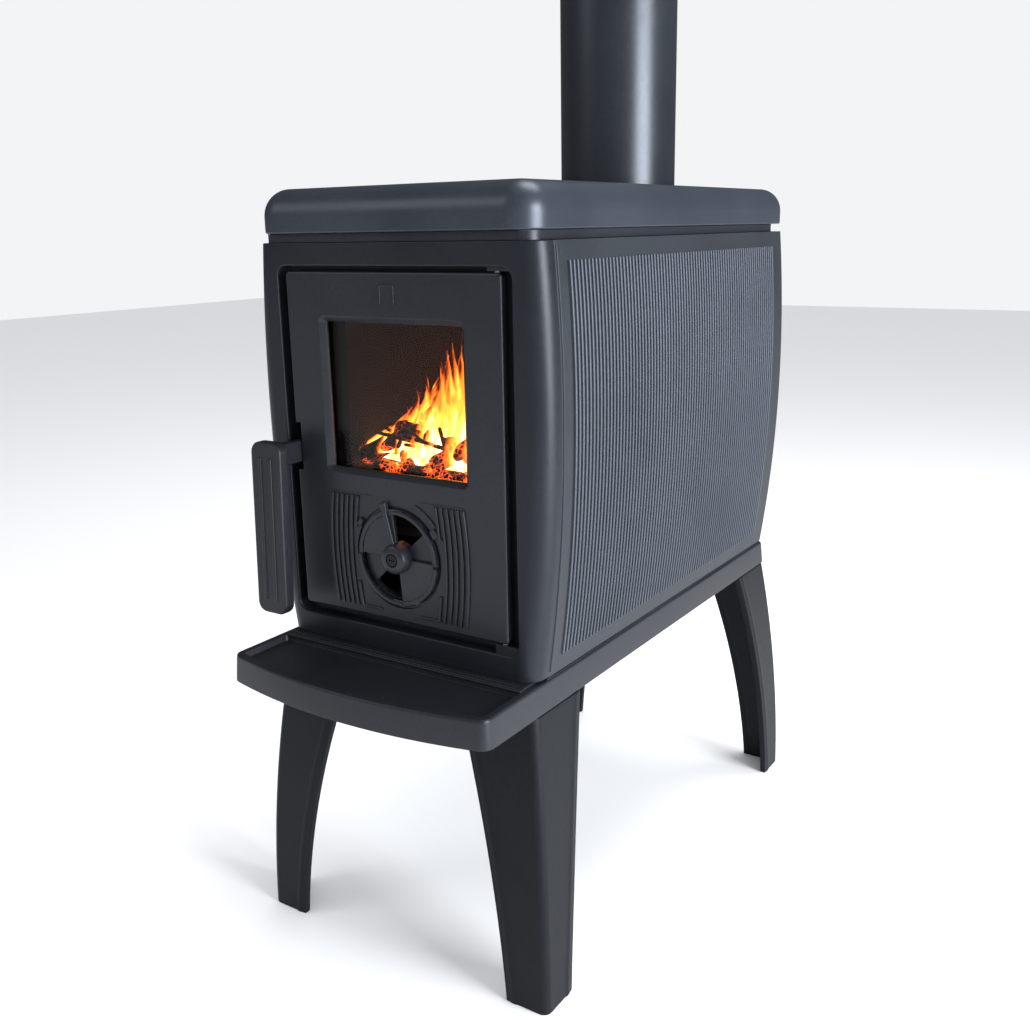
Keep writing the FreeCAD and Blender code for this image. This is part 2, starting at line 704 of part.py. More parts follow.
def front_plate():
    """Front casting: a flat face rolled round to the sides, with the door recess and doorway."""
    body = new_body("front_plate_body")
    shell = sketch_on(body, "XZ_Plane", "front_shell", "-(seam)")
    bulged_outline(shell, "0", "body_bottom", "body_top")
    pad(body, shell, "seam_setback")
    fillet(body, "front_rolls", "front_corner", lambda edge: close(edge.BoundBox.YMax, value("face"))
           and edge.BoundBox.ZLength > value("body_height") - 1)
    inside = sketch_on(body, "XZ_Plane", "front_hollow", "-(seam)")
    bulged_outline(inside, "wall", "body_bottom + wall", "body_top - wall")
    pocket(body, inside, "seam_setback - wall", backwards=True)
    add_box(body, "recess_wall", ("-recess_half - wall", "recess_half + wall"),
            ("face + wall / 2", "ledge_back"),
            ("recess_bottom - wall", "recess_top + wall"))
    hinge_half = 9
    for level, low, high in (("low", "body_bottom + 2", "recess_bottom + 2"),
                             ("top", "recess_top - 2", "body_top - 2")):
        add_box(body, f"hinge_backing_{level}", (f"hinge_x - {hinge_half}", f"hinge_x + {hinge_half}"),
                ("face + wall / 2", "ledge_back"), (low, high))
    add_box(body, "latch_housing", ("-recess_half - wall - 3", "pocket_right + 2"),
            ("ledge", "pocket_back + 4"),
            ("notch_low - 8", "notch_high + 5"))
    cut_box(body, "recess", ("-recess_half", "recess_half"), ("face - 1", "ledge"),
            ("recess_bottom", "recess_top"))
    fillet(body, "recess_rounds", "recess_corner", lambda edge: runs_along(edge, "Y")
           and close(abs(edge.CenterOfMass.x), value("recess_half"))
           and close(edge.BoundBox.YMin, value("face")))
    cut_box(body, "doorway", ("-doorway_half", "doorway_half"), ("ledge - 1", "ledge_back + 1"),
            ("doorway_bottom", "doorway_top"))
    cut_box(body, "latch_pocket", ("-recess_half - 1.5", "pocket_right"), ("ledge - 1", "pocket_back"),
            ("notch_low - 4", "notch_high + 1"))
    add_box(body, "keeper_tooth", ("-recess_half - 2", "pocket_right - 7.5"), ("pivot_y + 5", "pivot_y + 9.5"),
            ("pivot_z + eye_radius + 0.4", "notch_high + 2"))
    lug_x = ("hinge_x - 8", "recess_half + 1")
    lug_y = ("face + 0.5", "ledge + 1")
    add_box(body, "lug_low", lug_x, lug_y, ("recess_bottom - 1", "door_bottom - lug_clearance"))
    add_box(body, "lug_top", lug_x, lug_y, ("door_top + lug_clearance", "recess_top + 1"))
    at = ("hinge_x", "hinge_y")
    cut_rod(body, "pin_hole_low", "Z", at, "recess_bottom - 12", "door_bottom", "hinge_pin_radius")
    cut_rod(body, "pin_hole_top", "Z", at, "door_top", "recess_top + 12", "hinge_pin_radius")
    keep(body, "front_plate")


def side_panel(side):
    """Bulged side casting with upright ribs that follow the bulge, drawn as the left one.
    The right one is drawn front to back and then turned half round."""
    tag = "left" if side < 0 else "right"
    body = new_body(f"side_panel_{tag}_body")
    starts = ("seam", "seam + 2", "seam + rib_front_margin")
    if side > 0:
        starts = ("-rear_reach", "-(seam) - 5", "rib_rear_margin - rear_reach")
        body.Placement = FreeCAD.Placement(FreeCAD.Vector(), FreeCAD.Rotation(FreeCAD.Vector(0, 0, 1), 180))
    shell = sketch_on(body, "XZ_Plane", f"side_shell_{tag}", f"-({starts[0]})")
    side_band(shell, -1, "0", "wall", "body_bottom", "body_top")
    pad(body, shell, "rear_reach - seam", backwards=True)
    bead = sketch_on(body, "XZ_Plane", f"seam_bead_{tag}", f"-({starts[1]})")
    side_band(bead, -1, "-1", "1", "body_bottom + 4", "body_top - 4")
    pad(body, bead, "3", backwards=True)
    rib = sketch_on(body, "XZ_Plane", f"rib_{tag}", f"-({starts[2]})")
    side_band(rib, -1, "-rib_height", "1", "body_bottom + rib_end_margin", "body_top - rib_end_margin")
    first = pad(body, rib, "rib_width", backwards=True)
    ribs = body.newObject("PartDesign::LinearPattern", f"ribs_{tag}")
    ribs.Originals = [first]
    axis = [item for item in body.Origin.OriginFeatures if item.Role == "Y_Axis"][0]
    ribs.Direction = (axis, [""])
    bind(ribs, "Length", "rear_reach - seam - rib_front_margin - rib_rear_margin - rib_width")
    bind(ribs, "Occurrences", "rib_count")
    body.Tip = ribs
    keep(body, f"side_panel_{tag}")


def rear_panel():
    body = new_body("rear_panel_body")
    sketch = sketch_on(body, "XZ_Plane", "rear_outline", "wall - rear_reach")
    bulged_outline(sketch, "wall", "body_bottom", "body_top")
    pad(body, sketch, "wall", backwards=True)
    keep(body, "rear_panel")


def upper_frame():
    """Flat ring that ties the four walls together and carries the lid."""
    body = new_body("upper_frame_body")
    half = "lid_half - frame_inset"
    front, rear = "lid_front + frame_inset + 2", "rear_reach"
    add_box(body, "frame_slab", (f"-({half})", half), (front, rear), ("body_top", "lid_bottom"))
    fillet(body, "frame_corners", "front_corner - frame_inset", lambda edge: runs_along(edge, "Z"))
    hole = f"{half} - frame_land"
    cut_box(body, "frame_opening", (f"-({hole})", hole), (f"{front} + frame_land", f"{rear} - frame_land"),
            ("body_top - 1", "lid_bottom + 1"))
    for side in (-1, 1):
        for end in ("front", "rear"):
            cut_rod(body, f"frame_hole_{'left' if side < 0 else 'right'}_{end}", "Z",
                    (f"{side} * rod_x", f"rod_{end}"), "body_top - 1", "lid_bottom + 1", "rod_radius + 0.5")
    keep(body, "upper_frame")


def top_plate():
    """Lid casting and hot plate: rounded all round, hollow below, with the flue hole."""
    body = new_body("top_plate_body")
    add_box(body, "lid_slab", ("-lid_half", "lid_half"), ("lid_front", "lid_rear"), ("lid_bottom", "lid_top"))
    fillet(body, "lid_corners", "lid_corner", lambda edge: runs_along(edge, "Z"))
    fillet(body, "lid_edges", "lid_edge", lambda edge: close(edge.BoundBox.ZMin, value("lid_top")))
    cut_box(body, "lid_hollow", ("lid_wall - lid_half", "lid_half - lid_wall"),
            ("lid_front + lid_wall", "lid_rear - lid_wall"), ("lid_bottom - 1", "lid_ceiling"))
    cut_rod(body, "flue_hole", "Z", ("0", "flue_centre"), "lid_ceiling - 1", "lid_top + 1",
            "spigot_radius + 0.5")
    cut_rod(body, "pipe_seat", "Z", ("0", "flue_centre"), "lid_top - pipe_seat_depth", "lid_top + 1",
            "pipe_radius + 1")
    for name, x, y in collar_bolt_places():
        cut_rod(body, f"{name}_thread", "Z", (x, y), "lid_ceiling - 1", "lid_top - 3", "collar_bolt_radius")
    keep(body, "top_plate")


def collar_bolt_places():
    places = []
    for number in range(3):
        angle = 30 + 120 * number
        x = f"collar_bolt_circle * cos({angle} deg)"
        y = f"flue_centre + collar_bolt_circle * sin({angle} deg)"
        places.append((f"collar_bolt_{number + 1}", x, y))
    return places


def revolved(name, profile, centre_y):
    """A turned piece about an upright axis; the profile is (radius, height) pairs of formulas."""
    body = new_body(name + "_body")
    sketch = sketch_on(body, "XZ_Plane", name + "_profile", f"-({centre_y})")
    polygon(sketch, profile)
    feature = body.newObject("PartDesign::Revolution", name + "_turned")
    feature.Profile = sketch
    feature.ReferenceAxis = (sketch, ["V_Axis"])
    feature.Angle = 360
    return body


def flue():
    """Collar bolted up under the lid, and the first length of pipe that stands over its spigot."""
    collar = revolved("flue_collar", [
        ("spigot_inner", "lid_ceiling - collar_thickness"), ("collar_flange", "lid_ceiling - collar_thickness"),
        ("collar_flange", "lid_ceiling"), ("spigot_radius", "lid_ceiling"),
        ("spigot_radius", "lid_top + spigot_height"), ("spigot_inner",
                                                       "lid_top + spigot_height")], "flue_centre")
    bolts = []
    for name, x, y in collar_bolt_places():
        under = "lid_ceiling - collar_thickness"
        cut_rod(collar, f"{name}_hole", "Z", (x, y), f"{under} - 1", "lid_ceiling + 1",
                "collar_bolt_radius + 0.4")
        head = hexagon(f"{name}_head", "Z", (x, y), f"{under} - 4", under, "collar_bolt_radius * 1.8")
        shank = rod(f"{name}_shank", "Z", (x, y), under, "lid_top - 4", "collar_bolt_radius")
        bolts.append(fuse(name, head, shank))
    keep(collar, "flue_collar")
    keep(group("collar_bolt_set", *bolts), "flue_collar_bolts")
    foot, top = "lid_top - pipe_seat_depth", "lid_top + pipe_length"
    pipe = revolved("flue_pipe", [
        ("pipe_inner", foot), ("pipe_radius", foot), ("pipe_radius", top), ("pipe_inner", top)],
        "flue_centre")
    keep(pipe, "flue_pipe")


def tie_rods():
    """Four studs that clamp base plate, walls and upper frame together, with nuts at both ends."""
    rods, nuts = [], []
    for side in (-1, 1):
        for end in ("front", "rear"):
            tag = f"{'left' if side < 0 else 'right'}_{end}"
            at = (f"{side} * rod_x", f"rod_{end}")
            rods.append(rod(f"tie_{tag}", "Z", at, "deck_bottom - nut_height - 3",
                            "lid_bottom + nut_height + 3", "rod_radius"))
            for name, low in (("low", "deck_bottom - nut_height"), ("top", "lid_bottom")):
                nut = hexagon(f"nut_{tag}_{name}", "Z", at, low, f"({low}) + nut_height", "nut_radius")
                bore = rod(f"nut_bore_{tag}_{name}", "Z", at, low, f"({low}) + nut_height", "rod_radius")
                nuts.append(cut(f"nut_{tag}_{name}_drilled", nut, bore))
    keep(group("tie_rod_set", *rods), "tie_rods")
    keep(group("tie_nut_set", *nuts), "tie_rod_nuts")


def hearth():
    """Fire bed: hearth plate on two skirts, loose grate, log retainer, and the ash pan below."""
    plate_y = ("fire_front - 12", "fire_rear + liner_rear_thickness")
    body = new_body("hearth_plate_body")
    add_box(body, "hearth_slab", ("-hearth_half", "hearth_half"), plate_y,
            ("hearth_top - hearth_thickness", "hearth_top"))
    for side in (-1, 1):
        low, high = ("-hearth_half", "hearth_skirt - hearth_half")
        if side > 0:
            low, high = ("hearth_half - hearth_skirt", "hearth_half")
        add_box(body, f"skirt_{'left' if side < 0 else 'right'}", (low, high), plate_y,
                ("body_bottom", "hearth_top - hearth_thickness"))
    middle = "(fire_front + fire_rear) / 2"
    well_x = "(grate_width / 2 + grate_clearance)"
    well_y = "(grate_length / 2 + grate_clearance)"
    cut_box(body, "grate_well", (f"-{well_x}", well_x), (f"{middle} - {well_y}", f"{middle} + {well_y}"),
            ("hearth_top - hearth_thickness / 2", "hearth_top + 1"))
    cut_box(body, "ash_drop", (f"grate_ledge - {well_x}", f"{well_x} - grate_ledge"),
            (f"{middle} - {well_y} + grate_ledge", f"{middle} + {well_y} - grate_ledge"),
            ("hearth_top - hearth_thickness - 1", "hearth_top"))
    keep(body, "hearth_plate")

    grate = new_body("fire_grate_body")
    low = "hearth_top - hearth_thickness / 2"
    add_box(grate, "grate_slab", ("-grate_width / 2", "grate_width / 2"),
            (f"{middle} - grate_length / 2", f"{middle} + grate_length / 2"), (low, f"{low} + grate_thickness"))
    slots, pitch = 6, 17
    first = cut_box(grate, "grate_slot", (f"-{pitch} * {slots - 1} / 2 - 4", f"-{pitch} * {slots - 1} / 2 + 4"),
                    (f"{middle} - grate_length / 2 + 14", f"{middle} + grate_length / 2 - 14"),
                    (f"{low} - 1", f"{low} + grate_thickness + 1"))
    rows = grate.newObject("PartDesign::LinearPattern", "grate_slots")
    rows.Originals = [first]
    axis = [item for item in grate.Origin.OriginFeatures if item.Role == "X_Axis"][0]
    rows.Direction = (axis, [""])
    rows.Length = pitch * (slots - 1)
    rows.Occurrences = slots
    grate.Tip = rows
    add_box(grate, "grate_bridge", ("-grate_width / 2 + 3", "grate_width / 2 - 3"),
            (f"{middle} - 5", f"{middle} + 5"), (low, f"{low} + grate_thickness - 3"))
    keep(grate, "fire_grate")

    back = "fire_front - 2"
    retainer = block("retainer_bar", ("-fire_half - 4", "fire_half + 4"),
                     (f"{back} - retainer_thickness", back), ("hearth_top", "hearth_top + retainer_height"))
    windows = [block(f"retainer_slot_{number}", (f"{36 * number - 6}", f"{36 * number + 6}"),
                     (f"{back} - retainer_thickness - 1", f"{back} + 1"),
                     ("hearth_top + 12", "hearth_top + retainer_height - 10")) for number in (-2, -1, 0, 1, 2)]
    keep(cut("retainer_pierced", retainer, *windows), "log_retainer")

    pan = new_body("ash_pan_body")
    front = "fire_front - 6"
    rear = f"{front} + pan_length"
    floor = "body_bottom"
    add_box(pan, "pan_block", ("-pan_width / 2", "pan_width / 2"), (front, rear),
            (floor, f"{floor} + pan_height"))
    cut_box(pan, "pan_hollow", ("pan_wall - pan_width / 2", "pan_width / 2 - pan_wall"),
            (f"{front} + pan_wall", f"{rear} - pan_wall"), (f"{floor} + pan_wall", f"{floor} + pan_height + 1"))
    add_box(pan, "pan_pull", ("-22", "22"), (f"{front} - 14", f"{front} + pan_wall"),
            (f"{floor} + pan_height - 10", f"{floor} + pan_height - 6"))
    keep(pan, "ash_pan")


def linings():
    """Fire bricks that stand on the hearth plate, and the baffle that lies on them."""
    for side, label in ((-1, "liner_left"), (1, "liner_right")):
        low, high = ("-hearth_half", "-fire_half") if side < 0 else ("fire_half", "hearth_half")
        keep(block(label + "_brick", (low, high), ("fire_front", "fire_rear"), ("hearth_top", "liner_top")),
             label)
    keep(block("liner_rear_brick", ("-hearth_half", "hearth_half"),
               ("fire_rear", "fire_rear + liner_rear_thickness"),
               ("hearth_top", "liner_top")), "liner_rear")
    keep(block("baffle_brick", ("-hearth_half", "hearth_half"),
               ("fire_front + baffle_front_gap", "fire_rear + liner_rear_thickness - 12"),
               ("liner_top", "liner_top + baffle_thickness")), "baffle_plate")


def bars(body):
    """Curved ornamental bars in two groups, mirrored about the middle of the door."""
    radius = "((bar_height / 2) ^ 2 + bar_bulge ^ 2) / (2 * bar_bulge)"
    for side in (-1, 1):
        tag = "left" if side < 0 else "right"
        for number in range(6):
            outer = f"bar_outer - bar_pitch * {number}"
            stretches = [("disc_level - bar_height / 2", "disc_level + bar_height / 2")]
            if number == 5:
                stretches = [("disc_level - bar_height / 2", "disc_level - bar_height / 2 + 26"),
                             ("disc_level + bar_height / 2 - 30", "disc_level + bar_height / 2")]
            for index, (low, high) in enumerate(stretches):
                sketch = sketch_on(body, "XZ_Plane", f"bar_{tag}_{number}_{index}", "-(face) - 1")
                arc_band(sketch, side, "0", f"{outer} + bar_bulge - {radius}", "disc_level",
                         radius, f"{radius} - bar_width", low, high)
                pad(body, sketch, "bar_relief + 1")


def raised_sector(body, name, inner, outer, start, end, root, proud):
    """A raised piece of ring about the air disc's centre, from a plane towards the front."""
    sketch = sketch_on(body, "XZ_Plane", name, f"-({root})")
    sector(sketch, "0", "disc_level", inner, outer, start, end)
    return pad(body, sketch, proud)


def cut_sector(body, name, inner, outer, start, end, root, depth):
    sketch = sketch_on(body, "XZ_Plane", name, f"-({root})")
    sector(sketch, "0", "disc_level", inner, outer, start, end)
    return pocket(body, sketch, depth)


def door():
    """Door casting with its window, air ports, latch notch, hinge bores and seal groove."""
    body = new_body("door_body")
    add_box(body, "door_slab", ("-door_half", "door_half"), ("face", "door_back"), ("door_bottom", "door_top"))
    fillet(body, "door_corners", "door_edge * 1.6", lambda edge: runs_along(edge, "Y"))
    fillet(body, "door_edges", "door_edge", lambda edge: close(edge.BoundBox.YMax, value("face")))
    cut_box(body, "window", ("-window_half", "window_half"), ("face - 1", "door_back + 1"),
            ("window_bottom", "window_top"))
    chamfer(body, "window_bevels", "window_bevel", lambda edge: close(edge.BoundBox.YMax, value("face"))
            and abs(edge.CenterOfMass.x) < value("window_half") + 0.1
            and value("window_bottom") - 0.1 < edge.CenterOfMass.z < value("window_top") + 0.1)
    barrel_x = ("hinge_x - 6", "hinge_x + 3.4")
    barrel_y = ("door_back - 1", "hinge_y + 6.3")
    add_box(body, "barrel_low", barrel_x, barrel_y, ("door_bottom", "door_bottom + hinge_grip + 6"))
    add_box(body, "barrel_top", barrel_x, barrel_y, ("door_top - hinge_grip - 6", "door_top"))
    at = ("hinge_x", "hinge_y")
    bore = "hinge_pin_radius + running_clearance"
    cut_rod(body, "bore_low", "Z", at, "door_bottom - 1", "door_bottom + hinge_grip + 1", bore)
    cut_rod(body, "bore_top", "Z", at, "door_top - hinge_grip - 1", "door_top + 1", bore)
    cut_box(body, "seal_groove", ("-seal_outer", "seal_outer"), ("seal_back - seal_height", "door_back + 1"),
                     ("seal_bottom - seal_width", "seal_top + seal_width"))
    add_box(body, "seal_island", ("-seal_inner", "seal_inner"), ("seal_back - seal_height - 0.5", "door_back"),
            ("seal_bottom", "seal_top"))
    cut_box(body, "window_behind", ("-window_half", "window_half"), ("face - 1", "door_back + 1"),
            ("window_bottom", "window_top"))
    cut_box(body, "latch_notch", ("-door_half - 1", "notch_edge"), ("face - 1", "door_back + 1"),
            ("notch_low", "notch_high"))
    add_box(body, "pivot_ear", ("notch_edge + 0.2", "-seal_outer - 1"), ("door_back - 1", "pivot_y + 5.5"),
            ("pivot_z - 6", "pivot_z + 6"))
    cut_rod(body, "pivot_bore", "X", ("pivot_y", "pivot_z"), "notch_edge - 1", "-seal_outer - 1",
            "pivot_pin_radius")
    cut_rod(body, "disc_seat", "Y", ("0", "disc_level"), "face - 1", "face + disc_seat_depth",
            "disc_radius + disc_groove")
    for number in (0, 1):
        start = 42 + 180 * number
        cut_sector(body, f"air_port_{number + 1}", "disc_port_inner - 1", "disc_port_outer", start, start + 75,
                   "face - 2", "door_thickness + 4")
    cut_rod(body, "disc_screw_hole", "Y", ("0", "disc_level"), "face - 1", "door_back + 1",
            "disc_screw_radius + 0.2")
    ring = "disc_radius + disc_groove + 0.3"
    raised_sector(body, "open_stop", ring, f"{ring} + 4.5", 141, 149, "face + 1", "3.5")
    raised_sector(body, "closed_stop", ring, f"{ring} + 6", 29, 38, "face + 1", "4")
    raised_sector(body, "index_mark", ring, f"{ring} + 2.5", 68, 74, "face + 1", "1.4")
    raised_sector(body, "scale_arc", f"{ring} + 8.5", f"{ring} + 10", 20, 28, "face + 1", "2")
    raised_sector(body, "scale_arc_upper", f"{ring} + 8.5", f"{ring} + 10", 39.5, 66, "face + 1", "2")
    bars(body)
    for side in (-1, 1):
        tag = "left" if side < 0 else "right"
        near, far = ("-48.5", "-20") if side < 0 else ("20", "48.5")
        add_box(body, f"bar_foot_{tag}", (near, far), ("face - bar_relief * 0.6", "face + 1"),
                ("disc_level - bar_height / 2", "disc_level - bar_height / 2 + 1.6"))
    add_box(body, "blank_badge", ("-8", "8"), ("face - 1", "face + 1"), ("door_top - 28", "door_top - 10"))
    for number, (x, z) in enumerate(clip_places(), start=1):
        add_rod(body, f"clip_boss_{number}", "Y", (x, z), "door_back - 1", "glass_back",
                "clip_screw_radius + 2")
        cut_rod(body, f"clip_thread_{number}", "Y", (x, z), "door_back - 2", "glass_back + 1",
                "clip_screw_radius")
    keep(body, "door")


def clip_places():
    return [(f"{side} * clip_spread", level) for side in (-1, 1) for level in ("clip_low", "clip_high")]


def glazing():
    """Ceramic glass on a flat gasket, held to the back of the door by four clips."""
    keep(block("glass_pane", ("-glass_half", "glass_half"), ("gasket_back", "glass_back"),
               ("glass_bottom", "glass_top")), "door_glass")
    outer = block("gasket_outer", ("-glass_half", "glass_half"), ("door_back", "gasket_back"),
                  ("glass_bottom", "glass_top"))
    inner = block("gasket_inner", ("gasket_width - glass_half", "glass_half - gasket_width"),
                  ("door_back - 1", "gasket_back + 1"), ("glass_bottom + gasket_width",
                                                         "glass_top - gasket_width"))
    keep(cut("gasket_ring", outer, inner), "glass_gasket")
    clips, screws = [], []
    for number, (x, z) in enumerate(clip_places(), start=1):
        inward = 1 if z == "clip_low" else -1
        low, high = (f"{z} - 4.5", f"{z} + 13") if inward > 0 else (f"{z} - 13", f"{z} + 4.5")
        strip = block(f"clip_strip_{number}", (f"{x} - clip_width / 2", f"{x} + clip_width / 2"),
                      ("glass_back", "clip_back"), (low, high))
        hole = rod(f"clip_hole_{number}", "Y", (x, z), "glass_back - 1", "clip_back + 1",
                   "clip_screw_radius + 0.2")
        clips.append(cut(f"clip_{number}", strip, hole))
        head = rod(f"clip_screw_head_{number}", "Y", (x, z), "clip_back", "clip_back + 2.6",
                   "clip_screw_radius * 1.7")
        shank = rod(f"clip_screw_shank_{number}", "Y", (x, z), "door_back", "clip_back", "clip_screw_radius")
        screws.append(fuse(f"clip_screw_{number}", head, shank))
    keep(group("clip_set", *clips), "glass_clips")
    keep(group("clip_screw_set", *screws), "glass_clip_screws")


def door_seal():
    """Glass-fibre rope in the groove round the back of the door."""
    body = new_body("door_seal_body")
    y = ("seal_back - seal_height", "seal_back")
    add_box(body, "rope_block", ("-seal_outer", "seal_outer"), y,
            ("seal_bottom - seal_width", "seal_top + seal_width"))
    cut_box(body, "rope_inside", ("-seal_inner", "seal_inner"),
            ("seal_back - seal_height - 1", "seal_back + 1"),
            ("seal_bottom", "seal_top"))
    fillet(body, "rope_round", "seal_width * 0.3", lambda edge: close(edge.BoundBox.YMin, value("seal_back")))
    keep(body, "door_seal")


def hinge_pins():
    at = ("hinge_x", "hinge_y")
    low = rod("hinge_pin_low", "Z", at, "recess_bottom - 12", "door_bottom + hinge_grip", "hinge_pin_radius")
    top = rod("hinge_pin_top", "Z", at, "door_top - hinge_grip", "recess_top + 12", "hinge_pin_radius")
    keep(group("hinge_pin_set", low, top), "hinge_pins")


def handle():
    """Lift-up handle lever: flat paddle, stem through the door's notch, eye and latch nose."""
    body = new_body("handle_lever_body")
    front = "face - paddle_standoff"
    top = "pivot_z + stem_height / 2 + 3"
    low = f"{top} - paddle_length"
    side = sketch_on(body, "YZ_Plane", "paddle_side", "-paddle_centre - paddle_width / 2")
    polygon(side, [(f"{front} - paddle_rake", low), (f"{front} - paddle_rake + paddle_thickness", low),
                   (f"{front} + paddle_thickness", top), (front, top)])
    pad(body, side, "paddle_width")
    fillet(body, "paddle_corners", "paddle_corner", lambda edge: edge.BoundBox.XLength < 0.01
           and edge.Length < value("paddle_thickness") + 1)
    fillet(body, "paddle_edges", "paddle_thickness / 6",
           lambda edge: edge.BoundBox.YLength < 0.9 * value("paddle_length")
           and not (edge.BoundBox.XLength < 0.01 and close(edge.Length, value("paddle_thickness"), 0.5)))
    add_box(body, "stem", ("stem_left", "stem_right"), (f"{front} + paddle_thickness - 2.5", "pivot_y"),
            ("pivot_z - stem_height / 2", "pivot_z + stem_height / 2"))
    cut_box(body, "stem_heel", ("stem_left - 1", "stem_right + 1"),
            ("pivot_y - eye_radius - 0.5", "pivot_y + 1"),
            ("pivot_z - stem_height / 2 - 1", "pivot_z + stem_height / 2 + 1"))
    add_rod(body, "eye", "X", ("pivot_y", "pivot_z"), "stem_left", "stem_right", "eye_radius")
    add_box(body, "eye_neck", ("stem_left", "stem_right"), ("pivot_y - eye_radius - 1", "pivot_y"),
            ("pivot_z - eye_radius", "pivot_z + eye_radius"))
    add_box(body, "latch_nose", ("stem_left", "stem_right"), ("pivot_y + 2", "pivot_y + 12"),
            ("pivot_z - 3", "pivot_z + eye_radius - 0.3"))
    cut_rod(body, "eye_bore", "X", ("pivot_y", "pivot_z"), "stem_left - 1", "stem_right + 1",
            "pivot_pin_radius + running_clearance")
    for number in (-1, 1):
        x = f"-paddle_centre + {number} * 6.5"
        bead = sketch_on(body, "YZ_Plane", f"paddle_bead_{'left' if number < 0 else 'right'}", f"{x} - 1")
        slope = "paddle_rake / paddle_length"
        high, foot = f"{top} - 16", f"{low} + 14"
        polygon(bead, [(f"{front} - paddle_rake + {slope} * 14 - 1.2", foot),
                       (f"{front} - paddle_rake + {slope} * 14 + 1", foot),
                       (f"{front} - {slope} * 16 + 1", high), (f"{front} - {slope} * 16 - 1.2", high)])
        pad(body, bead, "2")
    keep(body, "handle_lever")
    pin = rod("pivot_pin_shank", "X", ("pivot_y", "pivot_z"), "stem_left - 0.2", "-seal_outer - 1",
              "pivot_pin_radius")
    head = rod("pivot_pin_head", "X", ("pivot_y", "pivot_z"), "stem_left - 2.2", "stem_left - 0.2",
               "pivot_pin_radius * 1.6")
    keep(fuse("pivot_pin", pin, head), "handle_pin")


def air_regulator():
    """Rotary air disc with its pointer, and the screw, spring washer and nut that hold it."""
    centre = ("0", "disc_level")
    body = new_body("air_disc_body")
    add_rod(body, "disc_plate", "Y", centre, "disc_face", "disc_back", "disc_radius")
    for number in (0, 1):
        start = 180 * number
        cut_sector(body, f"disc_port_{number + 1}", "disc_port_inner", "disc_port_outer + 1.5", start,
                   start + 95,
                   "disc_face - 1", "disc_thickness + 2")
        raised_sector(body, f"disc_rim_{number + 1}", "disc_port_outer + 3", "disc_radius", start + 2,
                      start + 93,
                      "disc_face + 1", "2.6")
    add_rod(body, "hub", "Y", centre, "hub_face", "disc_back", "hub_radius")
    fillet(body, "hub_round", "hub_height / 3", lambda edge: close(edge.BoundBox.YMax, value("hub_face")))
    pointer = sketch_on(body, "XZ_Plane", "pointer", "-(disc_face) - 1")
    lean = "cos(104.5 deg)", "sin(104.5 deg)"
    corners = []
    for reach, offset in (("hub_radius - 2", -1.6), ("disc_radius + 1", -1.6), ("disc_radius + 1", 1.6),
                          ("hub_radius - 2", 1.6)):
        x = f"({reach}) * {lean[0]} - ({offset}) * {lean[1]}"
        z = f"disc_level + ({reach}) * {lean[1]} + ({offset}) * {lean[0]}"
        corners.append((x, z))
    polygon(pointer, corners)
    pad(body, pointer, "3.4")
    raised_sector(body, "pointer_tab", "disc_radius - 2", "disc_radius + disc_groove + 4.2", 101, 108,
                  "face - 0.5", "4")
    cut_rod(body, "hub_bore", "Y", centre, "hub_face - 1", "disc_back + 1",
            "disc_screw_radius + running_clearance")
    cut_rod(body, "hub_counterbore", "Y", centre, "hub_face - 1", "hub_face + 3.2", "disc_screw_radius + 3")
    keep(body, "air_disc")
    seat = "hub_face + 3.1"
    head = rod("disc_screw_head", "Y", centre, "hub_face + 0.2", seat, "disc_screw_radius + 2.2")
    shank = rod("disc_screw_shank", "Y", centre, seat, "door_back + 10", "disc_screw_radius")
    drive = block("disc_screw_drive", ("-3.2", "3.2"), ("hub_face", "hub_face + 1.6"),
                  ("disc_level - 0.6", "disc_level + 0.6"))
    keep(cut("disc_screw_slotted", fuse("disc_screw_blank", head, shank), drive), "disc_screw")
    washer = rod("spring_washer_blank", "Y", centre, "door_back", "door_back + 2", "disc_screw_radius * 1.9")
    bore = rod("spring_washer_bore", "Y", centre, "door_back - 1", "door_back + 3", "disc_screw_radius")
    keep(cut("spring_washer", washer, bore), "disc_spring_washer")
    nut = hexagon("disc_nut_blank", "Y", centre, "door_back + 2", "door_back + 7", "disc_screw_radius * 1.9")
    nut_bore = rod("disc_nut_bore", "Y", centre, "door_back + 1", "door_back + 8", "disc_screw_radius")
    keep(cut("disc_nut_drilled", nut, nut_bore), "disc_nut")


def build():
    base_plate()
    for side in (-1, 1):
        for end in ("front", "rear"):
            leg(side, end)
    leg_bolts()
    front_plate()
    side_panel(-1)
    side_panel(1)
    rear_panel()
    upper_frame()
    top_plate()
    flue()
    tie_rods()
    hearth()
    linings()
    door()
    glazing()
    door_seal()
    hinge_pins()
    handle()
    air_regulator()
    doc.recompute()


def check():
    for thing in doc.Objects:
        for fault in ("Invalid", "Error"):
            if fault in thing.State:
                raise RuntimeError(f"{thing.Label} is {thing.State}")
    for thing in NODES:
        if thing.Shape.isNull() or not thing.Shape.isValid():
            raise RuntimeError(f"{thing.Label} has no valid shape")


def write():
    os.makedirs("parts", exist_ok=True)
    for thing in NODES:
        thing.Shape.exportStep(f"parts/{thing.Label}.step")
        box = thing.Shape.BoundBox
        print(f"{thing.Label:22s} solids {len(thing.Shape.Solids)}  volume {thing.Shape.Volume:12.0f}"
              f"  x {box.XMin:7.1f} {box.XMax:7.1f}  y {box.YMin:7.1f} {box.YMax:7.1f}"
              f"  z {box.ZMin:6.1f} {box.ZMax:6.1f}")


fill_sheet()
build()
check()
write()
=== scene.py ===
import json
import math

import bmesh
import bpy
from mathutils import Matrix, Vector, noise


